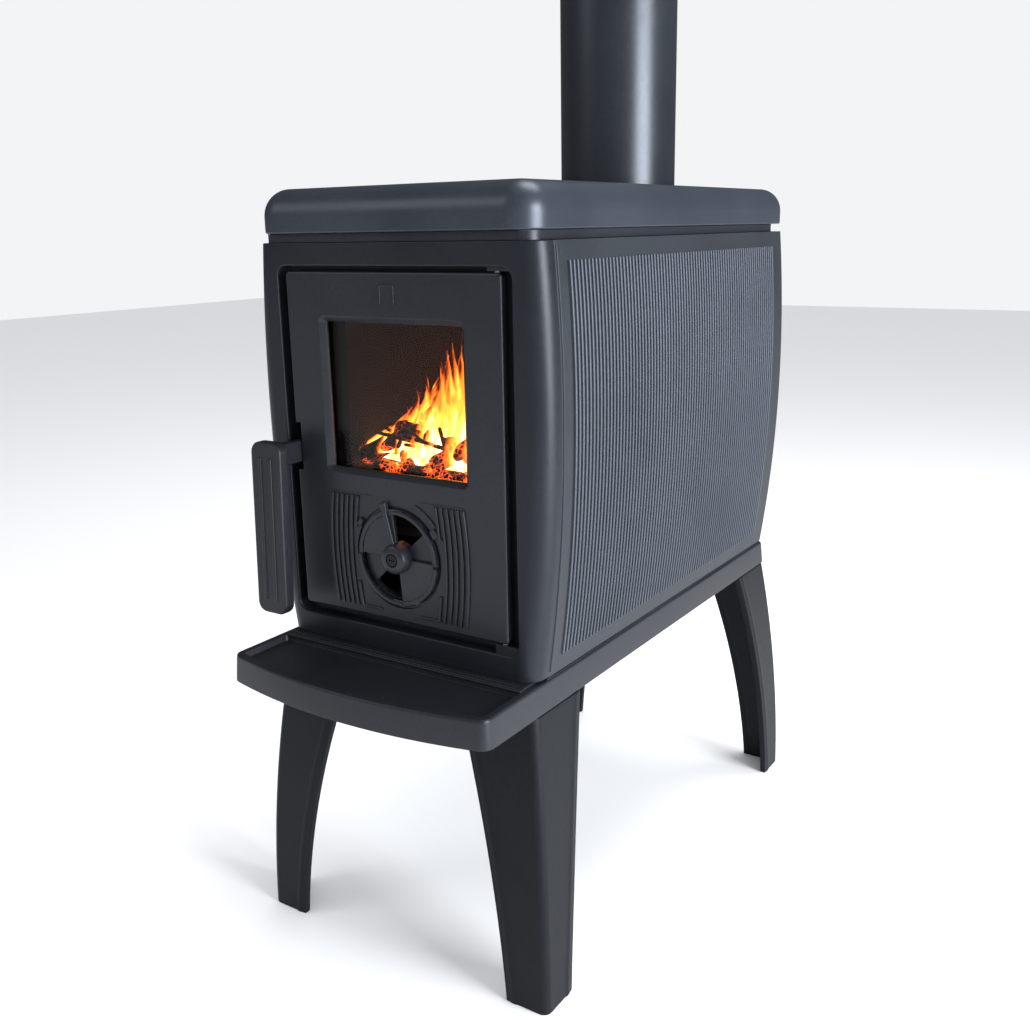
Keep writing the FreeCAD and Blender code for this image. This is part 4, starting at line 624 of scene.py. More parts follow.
def upper_frame():
    bm = bmesh.new()
    made = bmesh.ops.create_cube(bm, size=1)["verts"]
    bmesh.ops.scale(bm, verts=made, vec=frame_high - frame_low)
    bmesh.ops.translate(bm, verts=made, vec=(frame_high + frame_low) / 2)
    round_edges(bm, edges_where(bm, lambda e: abs(e.verts[0].co.z - e.verts[1].co.z) > 4 * MM), 14 * MM, 8)
    lids = [f for f in bm.faces if abs(f.normal.z) > 0.9]
    bmesh.ops.inset_individual(bm, faces=lids, thickness=32 * MM, depth=0, use_even_offset=True)
    bmesh.ops.delete(bm, geom=lids, context="FACES")
    open_edges = [e for e in bm.edges if len(e.link_faces) == 1]
    bmesh.ops.bridge_loops(bm, edges=open_edges)
    outer = edges_where(bm, lambda e: e.calc_face_angle(0) > 1)
    round_edges(bm, outer, 0.8 * MM, 2)
    return finish_piece("upper_frame_casting", bm, frame_paint, "stove", "upper_frame")


upper_frame()


def paint_node(node, material):
    """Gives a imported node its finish."""
    slots = frame["nodes"][node].data.materials
    if not slots:
        slots.append(material)
    for index in range(len(slots)):
        slots[index] = material


paint_node("rear_panel", painted_iron("rear_panel_paint", (0.0116, 0.0140, 0.0203), 0.55, relief=0.3))


# ---------------------------------------------------------------------------------------
# Lid. The cast hot plate: flat on top, well rounded all round its upper edge, and hollow
# below. Its top is a little smoother and glossier than the walls.

LID_EDGE = 24 * MM
LID_CORNER = 26 * MM
LID_WALL = 10 * MM

lid_low, lid_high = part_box("top_plate")
lid_paint = painted_iron("lid_paint", (0.026, 0.032, 0.046), 0.38, grain=1000.0, relief=0.12, unevenness=0.6)


def lid():
    bm = bmesh.new()
    made = bmesh.ops.create_cube(bm, size=1)["verts"]
    bmesh.ops.scale(bm, verts=made, vec=lid_high - lid_low)
    bmesh.ops.translate(bm, verts=made, vec=(lid_high + lid_low) / 2)
    round_edges(bm, edges_where(bm, lambda e: abs(e.verts[0].co.z - e.verts[1].co.z) > 0.01), LID_CORNER, 14)
    round_edges(bm, edges_where(bm, lambda e: is_level(e, 2, lid_high.z)), LID_EDGE, 12)
    under = [f for f in bm.faces if f.normal.z < -0.99]
    bmesh.ops.inset_region(bm, faces=under, thickness=LID_WALL, depth=0, use_even_offset=True)
    made = bmesh.ops.extrude_face_region(bm, geom=under)["geom"]
    verts = [item for item in made if isinstance(item, bmesh.types.BMVert)]
    bmesh.ops.translate(bm, verts=verts, vec=(0, 0, lid_high.z - lid_low.z - LID_WALL))
    rim = edges_where(bm, lambda e: is_level(e, 2, lid_low.z) and e.calc_face_angle(0) > 1)
    round_edges(bm, rim, 1.5 * MM, 3)
    return finish_piece("lid_casting", bm, lid_paint, "stove", "top_plate")


lid()


# ---------------------------------------------------------------------------------------
# Flue. A length of 2 mm steel pipe in satin heat-proof paint stands over the spigot of a
# cast collar, which is bolted up under the lid.

pipe_low, pipe_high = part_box("flue_pipe")
pipe_paint = painted_iron("flue_pipe_paint", (0.024, 0.028, 0.036), 0.33, grain=1500.0, relief=0.05,
                          unevenness=0.35, dust=0.08, metallic=0.5)


def flue_pipe():
    bm = bmesh.new()
    radius = (pipe_high.x - pipe_low.x) / 2
    centre = (pipe_low + pipe_high) / 2
    profile = [(2.0, pipe_low.z), (0.0, pipe_low.z)]
    profile += [(inset, pipe_high.z - drop * MM) for inset, drop in
                ((0.0, 0.7), (0.2, 0.2), (0.7, 0.0), (1.3, 0.0), (1.8, 0.2), (2.0, 0.7))]
    ring = [bm.verts.new((centre.x + radius - inset * MM, centre.y, z)) for inset, z in profile]
    for first, second in zip(ring, ring[1:] + ring[:1]):
        bm.edges.new((first, second))
    bmesh.ops.spin(bm, geom=[*bm.edges, *bm.verts], cent=centre, axis=(0, 0, 1), angle=2 * math.pi, steps=128,
                   use_merge=True)
    piece = finish_piece("flue_pipe_tube", bm, pipe_paint, "stove", "flue_pipe")
    return piece


flue_pipe()
raw_casting = painted_iron("unpainted_casting", (0.060, 0.055, 0.052), 0.62, grain=700.0, relief=0.4, dust=0.4)
for node in ("flue_collar", "fire_grate", "log_retainer", "hearth_plate"):
    paint_node(node, raw_casting)


# ---------------------------------------------------------------------------------------
# Fixings. Zinc-plated steel: leg and collar bolts, tie rods and their nuts, hinge pins,
# clips and their screws, the handle's pin, and the screw, washer and nut of the air disc.


def colour_ramp(tree, value, *stops):
    """Colours at positions along a value."""
    ramp = add_node(tree, "ValToRGB", {"Fac": value})
    elements = ramp.color_ramp.elements
    for number, (position, colour) in enumerate((stops[0], stops[-1])):
        elements[number].position = position
        elements[number].color = (*colour, 1)
    for position, colour in stops[1:-1]:
        elements.new(position).color = (*colour, 1)
    return ramp.outputs["Color"]


def rough_between(tree, value, low, high):
    return add_node(tree, "MapRange", {"Value": value, "To Min": low, "To Max": high}).outputs["Result"]


def plated_steel():
    material, tree, shader = node_material("plated_steel", Metallic=1.0)
    streaks = texture(tree, "Noise", {"Scale": 420.0, "Detail": 4.0}).outputs["Fac"]
    fill_sockets(tree, shader, {
        "Base Color": colour_ramp(tree, streaks, (0, (0.20, 0.20, 0.205)), (1, (0.52, 0.51, 0.49))),
        "Roughness": rough_between(tree, streaks, 0.25, 0.55),
    })
    return material


steel = plated_steel()
for node in ("leg_bolts", "flue_collar_bolts", "tie_rods", "tie_rod_nuts", "hinge_pins", "glass_clips",
             "glass_clip_screws", "handle_pin", "disc_spring_washer", "disc_nut"):
    paint_node(node, steel)


# ---------------------------------------------------------------------------------------
# Linings. Pressed vermiculite bricks at the sides and rear and the baffle above, black
# with soot, and the sheet-steel ash pan under the grate.


def fire_brick():
    material, tree, shader = node_material("sooty_fire_brick", Roughness=0.95)
    flakes = texture(tree, "Voronoi", {"Scale": 260.0}).outputs["Distance"]
    soot = texture(tree, "Noise", {"Scale": 14.0, "Detail": 5.0}).outputs["Fac"]
    fill_sockets(tree, shader, {
        "Base Color": colour_ramp(tree, soot, (0.35, (0.0012, 0.0010, 0.0009)), (0.75, (0.007, 0.005, 0.0035))),
        "Normal": relief_from(tree, flakes, 0.5, 0.001),
    })
    return material


brick = fire_brick()
for node in ("liner_left", "liner_right", "liner_rear", "baffle_plate"):
    paint_node(node, brick)
paint_node("ash_pan", painted_iron("ash_pan_sheet", (0.0294, 0.0294, 0.0317), 0.45, relief=0.1, dust=0.7,
                                   metallic=0.7))


# ---------------------------------------------------------------------------------------
# Door. A flat casting with a bevelled window, a round seat for the air disc between two
# groups of curved bars, a notch for the handle's stem, and hinge barrels on its back.

DOOR_THICKNESS = 7 * MM
DOOR_HALF = 114.7 * MM
DOOR_EDGE = 2.2 * MM
WINDOW_HALF = 73.3 * MM
WINDOW_DROP = 42.8 * MM
WINDOW_HEIGHT = 129 * MM
DISC_RISE = 60 * MM
DISC_SEAT = 47 * MM
BAR_HEIGHT = 104 * MM
BAR_BULGE = 4 * MM
BAR_WIDTH = 2.6 * MM
BAR_RELIEF = 2.0 * MM
BAR_OUTER = 77.5 * MM
BAR_PITCH = 5.8 * MM
NOTCH_EDGE = -107.7 * MM
PLAQUE_DROP = 19 * MM
BARREL = 24 * MM

door_back_y = face_y + DOOR_THICKNESS
disc_z = door_low_z + DISC_RISE
window_high = door_high_z - WINDOW_DROP
window_low = window_high - WINDOW_HEIGHT
pivot_x, pivot_y, stem_z = frame["joints"][1]["pos_m"]
door_paint = painted_iron("door_paint", (0.0090, 0.0113, 0.0168), 0.36, grain=1000.0, relief=0.13,
                          unevenness=0.6)


def ring_piece(bm, inner, outer, start, end, front_y, back_y, edge=0.0, steps=None):
    """A piece of a ring round the air disc's centre, between two angles in degrees."""
    at = math.radians(start)
    corners = [(inner, front_y), (outer, front_y), (outer, back_y), (inner, back_y)]
    verts = [bm.verts.new((r * math.cos(at), y, disc_z + r * math.sin(at))) for r, y in corners]
    face = bm.faces.new(verts)
    known = set(bm.verts) - set(verts)
    turn = end - start
    whole = abs(turn - 360) < 1e-6
    steps = steps or max(2, int(abs(turn) / 5))
    bmesh.ops.spin(bm, geom=[face, *face.edges, *face.verts], cent=(0, 0, disc_z), axis=(0, -1, 0),
                   angle=math.radians(turn), steps=steps, use_merge=whole)
    if whole:
        bmesh.ops.delete(bm, geom=[face], context="FACES_ONLY")
    fresh = [vert for vert in bm.verts if vert not in known]
    if edge:
        rim = {e for vert in fresh for e in vert.link_edges
               if is_level(e, 1, front_y) and e.calc_face_angle(0) > 0.9}
        round_edges(bm, rim, edge, 2)


def curved_bar(bm, side, outer, low, high):
    """An upright ornamental bar, bowed outwards about the middle of the air disc."""
    radius = ((BAR_HEIGHT / 2) ** 2 + BAR_BULGE**2) / (2 * BAR_BULGE)
    centre_x = outer + BAR_BULGE - radius
    start, end = (math.asin((z - disc_z) / radius) for z in (low, high))
    corners = []
    for reach, y in ((radius, face_y + MM), (radius, face_y - BAR_RELIEF),
                     (radius - BAR_WIDTH, face_y - BAR_RELIEF), (radius - BAR_WIDTH, face_y + MM)):
        x, z = centre_x + reach * math.cos(start), disc_z + reach * math.sin(start)
        corners.append(bm.verts.new((side * x, y, z)))
    face = bm.faces.new(corners)
    known = set(bm.verts) - set(corners)
    bmesh.ops.spin(bm, geom=[face, *face.edges, *face.verts], cent=(side * centre_x, 0, disc_z),
                   axis=(0, -side, 0), angle=end - start, steps=14)
    fresh = {e for vert in bm.verts if vert not in known for e in vert.link_edges}
    rim = [e for e in fresh if is_level(e, 1, face_y - BAR_RELIEF) and e.calc_face_angle(0) > 0.9]
    round_edges(bm, rim, 1.0 * MM, 3)


def door_slab():
    bm = bmesh.new()
    made = bmesh.ops.create_cube(bm, size=1)["verts"]
    bmesh.ops.scale(bm, verts=made, vec=(2 * DOOR_HALF, DOOR_THICKNESS, door_high_z - door_low_z))
    bmesh.ops.translate(bm, verts=made, vec=(0, (face_y + door_back_y) / 2, (door_low_z + door_high_z) / 2))
    round_edges(bm, edges_where(bm, lambda e: abs(e.verts[0].co.y - e.verts[1].co.y) > 4 * MM), 4 * MM, 5)
    round_edges(bm, edges_where(bm, lambda e: is_level(e, 1, face_y)), DOOR_EDGE, 4)
    return bm


def window_cutter():
    """The window's square hole with its sloping reveal, a little rounded at the face."""
    profile = [(6.6, -1.0), (5.4, 0.0), (4.7, 0.35), (0.4, 4.6), (0.0, 5.2), (0.0, 8.0)]
    return opening_cutter(-WINDOW_HALF, WINDOW_HALF, window_low, window_high, 1.5 * MM,
                          [(spread * MM, face_y + depth * MM) for spread, depth in profile])


def door_cutters():
    """The round seat that the air disc lies in."""
    bm = bmesh.new()
    seat = bmesh.ops.create_cone(bm, cap_ends=True, segments=96, radius1=DISC_SEAT, radius2=DISC_SEAT,
                                 depth=6 * MM, matrix=Matrix.Rotation(math.pi / 2, 4, "X"))["verts"]
    bmesh.ops.translate(bm, verts=seat, vec=(0, face_y - MM, disc_z))
    return bm


def port_cutters():
    """The two air ports behind the disc, and the notch for the handle's stem."""
    bm = bmesh.new()
    for start in (42, 222):
        ring_piece(bm, 14 * MM, 38 * MM, start, start + 75, face_y - 8 * MM, door_back_y + 4 * MM)
    add_block(bm, (-DOOR_HALF - 5 * MM, face_y - 5 * MM, stem_z - 17 * MM), (NOTCH_EDGE, door_back_y + 5 * MM,
              stem_z + 27 * MM), 0)
    return bm


door_casting = carve(carve(carve(door_slab(), window_cutter()), door_cutters()), port_cutters())
finish_piece("door_casting", door_casting, door_paint, "door", "door", soft_angle=28)


def door_ornament():
    """Bars, scale marks, stops and a blank plaque, cast in one with the door."""
    bm = bmesh.new()
    foot, head = disc_z - BAR_HEIGHT / 2, disc_z + BAR_HEIGHT / 2
    for side in (-1, 1):
        for number in range(5):
            curved_bar(bm, side, BAR_OUTER - BAR_BULGE - number * BAR_PITCH, foot, head)
        inner = BAR_OUTER - BAR_BULGE - 5 * BAR_PITCH
        curved_bar(bm, side, inner, foot, foot + 24 * MM)
        curved_bar(bm, side, inner, head - 29 * MM, head)
        near, far = sorted((side * 21 * MM, side * (inner + 1.5 * MM)))
        add_block(bm, (near, face_y - 1.4 * MM, foot), (far, face_y + MM, foot + 2.2 * MM), 0.7 * MM)
        near, far = sorted((side * 27 * MM, side * (BAR_OUTER - 2 * MM)))
        add_block(bm, (near, face_y - 0.7 * MM, head + 0.5 * MM), (far, face_y + MM, head + 1.9 * MM), 0.5 * MM)
    ring = DISC_SEAT + 0.2 * MM
    ring_piece(bm, ring, ring + 4.6 * MM, 141, 149, face_y - 2.6 * MM, face_y + MM, 0.5 * MM)
    ring_piece(bm, ring, ring + 6 * MM, 29, 38, face_y - 3 * MM, face_y + MM, 0.5 * MM)
    ring_piece(bm, ring, ring + 2.4 * MM, 68, 74, face_y - 0.4 * MM, face_y + MM, 0.2 * MM)
    for start, end in ((19, 28), (39, 67)):
        ring_piece(bm, ring + 6 * MM, ring + 8 * MM, start, end, face_y - 1.2 * MM, face_y + MM, 0.5 * MM)
    plaque = door_high_z - PLAQUE_DROP
    add_block(bm, (-7.4 * MM, face_y - 0.5 * MM, plaque - 7.9 * MM),
              (7.4 * MM, face_y + MM, plaque + 7.9 * MM), 0)
    for side in (-1, 1):
        near, far = sorted((side * 6.6 * MM, side * 8 * MM))
        add_block(bm, (near, face_y - MM, plaque - 8.5 * MM), (far, face_y + MM, plaque + 8.5 * MM), 0.5 * MM)
        near, far = sorted((side * 7.1 * MM, side * 8.5 * MM))
        add_block(bm, (-8 * MM, face_y - MM, plaque + near), (8 * MM, face_y + MM, plaque + far), 0.5 * MM)
    return finish_piece("door_ornament", bm, door_paint, "door")


door_ornament()


def door_back():
    """Hinge barrels, the ear that holds the handle's pin, and bosses for the glass clips."""
    bm = bmesh.new()
    for low, high in ((door_low_z, door_low_z + BARREL), (door_high_z - BARREL, door_high_z)):
        add_block(bm, (hinge_x - 6 * MM, door_back_y - MM, low),
                  (hinge_x + 3.4 * MM, hinge_y + 6.3 * MM, high), MM)
    add_block(bm, (-107.5 * MM, door_back_y - MM, stem_z - 6 * MM),
              (-101 * MM, pivot_y + 5.5 * MM, stem_z + 6 * MM), MM)
    clip_low, clip_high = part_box("glass_clip_screws")
    head = 4.25 * MM
    for x in (clip_low.x + head, clip_high.x - head):
        for z in (clip_low.z + head, clip_high.z - head):
            boss = bmesh.ops.create_cone(bm, cap_ends=True, segments=32, radius1=4.5 * MM, radius2=4.5 * MM,
                                         depth=7 * MM, matrix=Matrix.Rotation(math.pi / 2, 4, "X"))["verts"]
            bmesh.ops.translate(bm, verts=boss, vec=(x, door_back_y + 2.5 * MM, z))
    return finish_piece("door_back_castings", bm, door_paint, "door")


door_back()


# ---------------------------------------------------------------------------------------
# Glazing and seals. Ceramic glass, slightly smoked, on a flat gasket, and a braided
# glass-fibre rope pressed into the groove round the door's back.


def ceramic_glass():
    material, tree, shader = node_material("ceramic_glass", Transmission_Weight=1.0, IOR=1.2,
                                           Specular_IOR_Level=0.1)
    smoke = texture(tree, "Noise", {"Scale": 16.0, "Detail": 4.0}).outputs["Fac"]
    fill_sockets(tree, shader, {
        "Base Color": colour_ramp(tree, smoke, (0, (0.93, 0.90, 0.86)), (1, (1.0, 0.99, 0.97))),
        "Roughness": rough_between(tree, smoke, 0.0, 0.03),
    })
    return material


def braided_rope():
    material, tree, shader = node_material("braided_glass_fibre", Roughness=0.9, Sheen_Weight=0.3)
    braid = texture(tree, "Wave", {"Scale": 150.0, "Distortion": 3.0}, bands_direction="DIAGONAL")
    strands = braid.outputs["Fac"]
    fill_sockets(tree, shader, {
        "Base Color": colour_ramp(tree, strands, (0, (0.05, 0.048, 0.046)), (1, (0.22, 0.21, 0.20))),
        "Normal": relief_from(tree, strands, 0.7, 0.0012),
    })
    return material


paint_node("door_glass", ceramic_glass())
rope = braided_rope()
for node in ("door_seal", "glass_gasket"):
    paint_node(node, rope)


# ---------------------------------------------------------------------------------------
# Handle lever. A flat cast paddle with two raised beads, hanging a hand's depth in front
# of the door's left edge, on a stem that passes the notch to the pivot and the latch nose.

PADDLE_HALF = 18 * MM
PADDLE_CENTRE = -120 * MM
PADDLE_THICKNESS = 12 * MM
PADDLE_RAKE = 6 * MM
PADDLE_STANDOFF = 35 * MM
PADDLE_CORNER = 10 * MM
PADDLE_BEAD = 1.2 * MM

lever_low, lever_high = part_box("handle_lever")
handle_paint = painted_iron("handle_paint", (0.0083, 0.0101, 0.0151), 0.45, grain=850.0, relief=0.28)


def handle_lever():
    bm = bmesh.new()
    length = lever_high.z - lever_low.z
    front = face_y - PADDLE_STANDOFF
    made = bmesh.ops.create_cube(bm, size=1)["verts"]
    bmesh.ops.scale(bm, verts=made, vec=(2 * PADDLE_HALF, PADDLE_THICKNESS, length))
    middle = (PADDLE_CENTRE, front + PADDLE_THICKNESS / 2, lever_low.z + length / 2)
    bmesh.ops.translate(bm, verts=made, vec=middle)
    corners = edges_where(bm, lambda e: abs(e.verts[0].co.y - e.verts[1].co.y) > 4 * MM)
    round_edges(bm, corners, PADDLE_CORNER, 7)
    rims = edges_where(bm, lambda e: e.calc_face_angle(0) > 1 and (is_level(e, 1, front)
                       or is_level(e, 1, front + PADDLE_THICKNESS)))
    round_edges(bm, rims, 2.4 * MM, 4)
    for side in (-1, 1):
        x = PADDLE_CENTRE + side * 6.2 * MM
        add_block(bm, (x - 1.6 * MM, front - PADDLE_BEAD, lever_low.z + 13 * MM),
                  (x + 1.6 * MM, front + MM, lever_high.z - 14 * MM), 1.0 * MM)
    for vert in bm.verts:
        vert.co.y -= PADDLE_RAKE * (lever_high.z - vert.co.z) / length
    left, right = pivot_x - 4.75 * MM, pivot_x + 4.75 * MM
    add_block(bm, (left, front + PADDLE_THICKNESS - 3 * MM, stem_z - 10 * MM),
              (right, pivot_y - 7.5 * MM, stem_z + 10 * MM), 1.5 * MM)
    add_block(bm, (left, pivot_y - 9 * MM, stem_z - 6.5 * MM), (right, pivot_y, stem_z + 6.5 * MM), MM)
    add_block(bm, (left, pivot_y + 2 * MM, stem_z - 3 * MM), (right, pivot_y + 12 * MM, stem_z + 6.7 * MM), MM)
    eye = bmesh.ops.create_cone(bm, cap_ends=True, segments=48, radius1=7 * MM, radius2=7 * MM,
                                depth=right - left, matrix=Matrix.Rotation(math.pi / 2, 4, "Y"))["verts"]
    bmesh.ops.translate(bm, verts=eye, vec=(pivot_x, pivot_y, stem_z))
    return finish_piece("handle_lever_casting", bm, handle_paint, "handle", "handle_lever")


handle_lever()


# ---------------------------------------------------------------------------------------
# Air disc. A round damper with two open quarters inside a rim, a domed hub, and a pointer
# that runs out to a tab between the stops. A slotted screw and a spring hold it.

DISC_RADIUS = 44.2 * MM
DISC_RIM = 5 * MM
DISC_THICKNESS = 4 * MM
HUB_RADIUS = 13.5 * MM
HUB_HEIGHT = 8 * MM

disc_back_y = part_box("air_disc")[1].y
disc_face_y = disc_back_y - DISC_THICKNESS
hub_face_y = disc_face_y - HUB_HEIGHT
disc_paint = painted_iron("air_disc_paint", (0.0127, 0.0151, 0.0215), 0.36, relief=0.12, unevenness=0.6)


def air_disc():
    bm = bmesh.new()
    ring_piece(bm, DISC_RADIUS - DISC_RIM, DISC_RADIUS, 0, 360, disc_face_y, disc_back_y, 0.8 * MM, 96)
    for start in (0, 180):
        ring_piece(bm, HUB_RADIUS - 2 * MM, DISC_RADIUS - DISC_RIM + MM, start + 95, start + 180,
                   disc_face_y + 0.6 * MM, disc_back_y, 0.6 * MM, 24)
        ring_piece(bm, DISC_RADIUS - DISC_RIM + 0.8 * MM, DISC_RADIUS - 0.5 * MM, start + 1, start + 94,
                   disc_face_y - 1.6 * MM, disc_back_y - MM, 0.9 * MM, 30)
    profile = [(0.0, hub_face_y + 3.2 * MM), (6.0, hub_face_y + 3.2 * MM), (6.4, hub_face_y), (9.5, hub_face_y),
               (12.4, hub_face_y + 1.6 * MM), (13.5, hub_face_y + 4.4 * MM), (13.8, disc_back_y)]
    verts = [bm.verts.new((radius * MM, y, disc_z)) for radius, y in profile]
    outline = [bm.edges.new(pair) for pair in zip(verts, verts[1:])]
    bmesh.ops.spin(bm, geom=[*verts, *outline], cent=(0, 0, disc_z), axis=(0, -1, 0), angle=2 * math.pi,
                   steps=64, use_merge=True)
    start = len(bm.verts)
    add_block(bm, (HUB_RADIUS - 2 * MM, disc_face_y - 2.4 * MM, disc_z - 1.7 * MM),
              (DISC_RADIUS + MM, disc_face_y + MM, disc_z + 1.7 * MM), MM)
    bm.verts.ensure_lookup_table()
    turn = Matrix.Rotation(math.radians(-104.5), 3, "Y")
    bmesh.ops.rotate(bm, verts=bm.verts[start:], cent=(0, 0, disc_z), matrix=turn)
    ring_piece(bm, DISC_RADIUS - 2 * MM, DISC_RADIUS + 6.8 * MM, 101, 108, face_y - 4.4 * MM, face_y - 0.5 * MM,
               0.6 * MM)
    return finish_piece("air_disc_casting", bm, disc_paint, "air_regulator", "air_disc")


air_disc()
paint_node("disc_screw", painted_iron("blackened_screw", (0.0072, 0.0073, 0.0093), 0.3, relief=0.05,
                                      metallic=0.8))


# ---------------------------------------------------------------------------------------
# Fire. Split logs and sticks burning on a bed of embers behind the retainer, with flames
# that lean to the right. It is loose fuel, not cast or fixed to anything.

EMBER_BED_Z = 422 * MM
CRACK_WIDTH = 0.16
STICK_RADIUS = 1.9 * MM
GOLDEN_TURN = 2.399
STICKS = 20
FLAMES = 48

fire_half = abs(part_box("liner_left")[1].x)
fire_front_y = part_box("log_retainer")[1].y


def glowing(name, char, scale, glow_low, glow_high, strength):
    """Charred fuel whose cracks glow where it is hot."""
    material, tree, shader = node_material(name, Roughness=0.9, Emission_Strength=strength)
    cracks = texture(tree, "Voronoi", {"Scale": scale}, feature="DISTANCE_TO_EDGE").outputs["Distance"]
    heat = texture(tree, "Noise", {"Scale": 34.0, "Detail": 5.0}).outputs["Fac"]
    depth = add_node(tree, "MapRange", {"Value": cracks, "From Max": CRACK_WIDTH, "To Min": 0.07,
                                        "To Max": -0.05}).outputs["Result"]
    hot = maths(tree, "ADD", heat, depth)
    bark = add_node(tree, "Mix", {"Factor": heat, 6: (*char, 1), 7: (0.05, 0.035, 0.026, 1)}, data_type="RGBA")
    fill_sockets(tree, shader, {
        "Emission Color": colour_ramp(tree, hot, (glow_low, (0, 0, 0)),
                                      ((glow_low + glow_high) / 2, (0.55, 0.05, 0.004)),
                                      (glow_high, (1.0, 0.55, 0.12))),
        "Base Color": bark.outputs[2],
        "Normal": relief_from(tree, cracks, 0.8, 0.002),
    })
    return material


def loose_fuel(name, bm, material, soft_angle=50):
    piece = finish_piece(name, bm, material, "stove", soft_angle=soft_angle)
    return piece


def add_log(bm, start, end, radius, seed):
    """A rough round of wood between two points."""
    start, end = Vector(start) * MM, Vector(end) * MM
    along = end - start
    turn = Vector((0, 0, 1)).rotation_difference(along.normalized()).to_matrix()
    rings = []
    for step in range(19):
        at = step / 18
        ring = []
        for corner in range(22):
            angle = 2 * math.pi * corner / 22
            end_round = min(1, 0.72 + 6 * min(at, 1 - at))
            spot = Vector((math.cos(angle), math.sin(angle), 0)) * radius * end_round * (1 - 0.1 * at)
            spot.z = (at - 0.5) * along.length
            knob = noise.noise(Vector((spot.x * 45, spot.y * 45, spot.z * 14 + 7.3 * seed)))
            spot.xy *= 1 + 0.36 * knob
            ring.append(turn @ spot + (start + end) / 2)
        rings.append(ring)
    skin(bm, rings)


def fire():
    bed = bmesh.new()
    made = bmesh.ops.create_grid(bed, x_segments=70, y_segments=110, size=0.5)["verts"]
    size = Vector((2 * fire_half - 4 * MM, 300 * MM, 1))
    bmesh.ops.scale(bed, verts=made, vec=size)
    bmesh.ops.translate(bed, verts=made, vec=(0, fire_front_y + 153 * MM, 0))
    for vert in made:
        x, y = vert.co.x / MM, vert.co.y / MM
        mound = math.exp(-((x + 22) / 66) ** 2 - ((y + 132) / 44) ** 2)
        lump = noise.noise(vert.co * 60) + 0.6 * noise.noise(vert.co * 140)
        vert.co.z = EMBER_BED_Z + (24 * mound + 7 * lump) * MM
    loose_fuel("ember_bed", bed, glowing("embers", (0.010, 0.009, 0.008), 130.0, 0.40, 0.72, 9.0))
    logs = bmesh.new()
    for number, (start, end, radius) in enumerate((
            ((-92, -158, 458), (-22, -128, 502), 9.5), ((-52, -152, 488), (40, -136, 462), 10.5),
            ((-70, -163, 452), (30, -160, 447), 9.0), ((-84, -124, 462), (48, -112, 478), 11.0),
            ((-6, -162, 458), (66, -118, 500), 8.0), ((-88, -104, 470), (-20, -70, 500), 12.0),
            ((-60, -30, 448), (70, 10, 450), 15.0), ((-30, -165, 452), (-76, -118, 486), 6.5))):
        add_log(logs, start, end, radius * MM, number)
    loose_fuel("burning_logs", logs, glowing("charred_wood", (0.006, 0.005, 0.004), 240.0, 0.58, 0.86, 6.0))
    sticks = bmesh.new()
    for number in range(STICKS):
        turn = GOLDEN_TURN * number
        x, y = 46 * math.cos(turn) * math.sqrt((number + 1) / STICKS) - 20, 16 * math.sin(turn) - 144
        start = (x - 34 * math.cos(turn * 1.7), y - 12 * math.sin(turn), 462 + 3 * (number % 4))
        end = (x + 32 * math.cos(turn * 1.7), y + 12 * math.sin(turn), 478 + 8 * (number % 3))
        add_log(sticks, start, end, STICK_RADIUS, number)
    charred_sticks = glowing("charred_sticks", (0.006, 0.005, 0.004), 200.0, 0.60, 0.9, 5.0)
    loose_fuel("burning_sticks", sticks, charred_sticks)


fire()


def flame_material():
    """Soft-edged flame: white-yellow at the root, orange to red at the tips, clear outside."""
    material, tree, shader = node_material("flame", Base_Color=(0, 0, 0, 1), Specular_IOR_Level=0.0,
                                           Emission_Strength=4.5)
    sheet = add_node(tree, "SeparateXYZ", {0: add_node(tree, "UVMap", uv_map="flame").outputs["UV"]})
    place = add_node(tree, "TexCoord").outputs["Object"]
    stretch = add_node(tree, "Mapping", {"Vector": place, "Scale": (75, 75, 22)}).outputs["Vector"]
    wisps = add_node(tree, "TexNoise", {"Vector": stretch, "Scale": 1.0, "Detail": 4.0, "Distortion": 1.2})
    across = maths(tree, "ABSOLUTE", maths(tree, "MULTIPLY_ADD", sheet.outputs["X"], 2.0, -1.0))
    core = maths(tree, "SUBTRACT", 1.0, maths(tree, "POWER", across, 1.6))
    body = maths(tree, "MULTIPLY", core, maths(tree, "SUBTRACT", 1.15, sheet.outputs["Y"]), use_clamp=True)
    heat = maths(tree, "ADD", body, maths(tree, "MULTIPLY_ADD", wisps.outputs["Fac"], 1.5, -0.85))
    fill_sockets(tree, shader, {
        "Emission Color": colour_ramp(tree, heat, (0.05, (0.30, 0.02, 0.0)), (0.35, (0.9, 0.16, 0.012)),
                                      (0.62, (1.0, 0.42, 0.05)), (0.95, (1.0, 0.85, 0.42))),
        "Alpha": maths(tree, "MULTIPLY", maths(tree, "MAXIMUM", heat, 0.0), 1.3, use_clamp=True),
    })
    return material


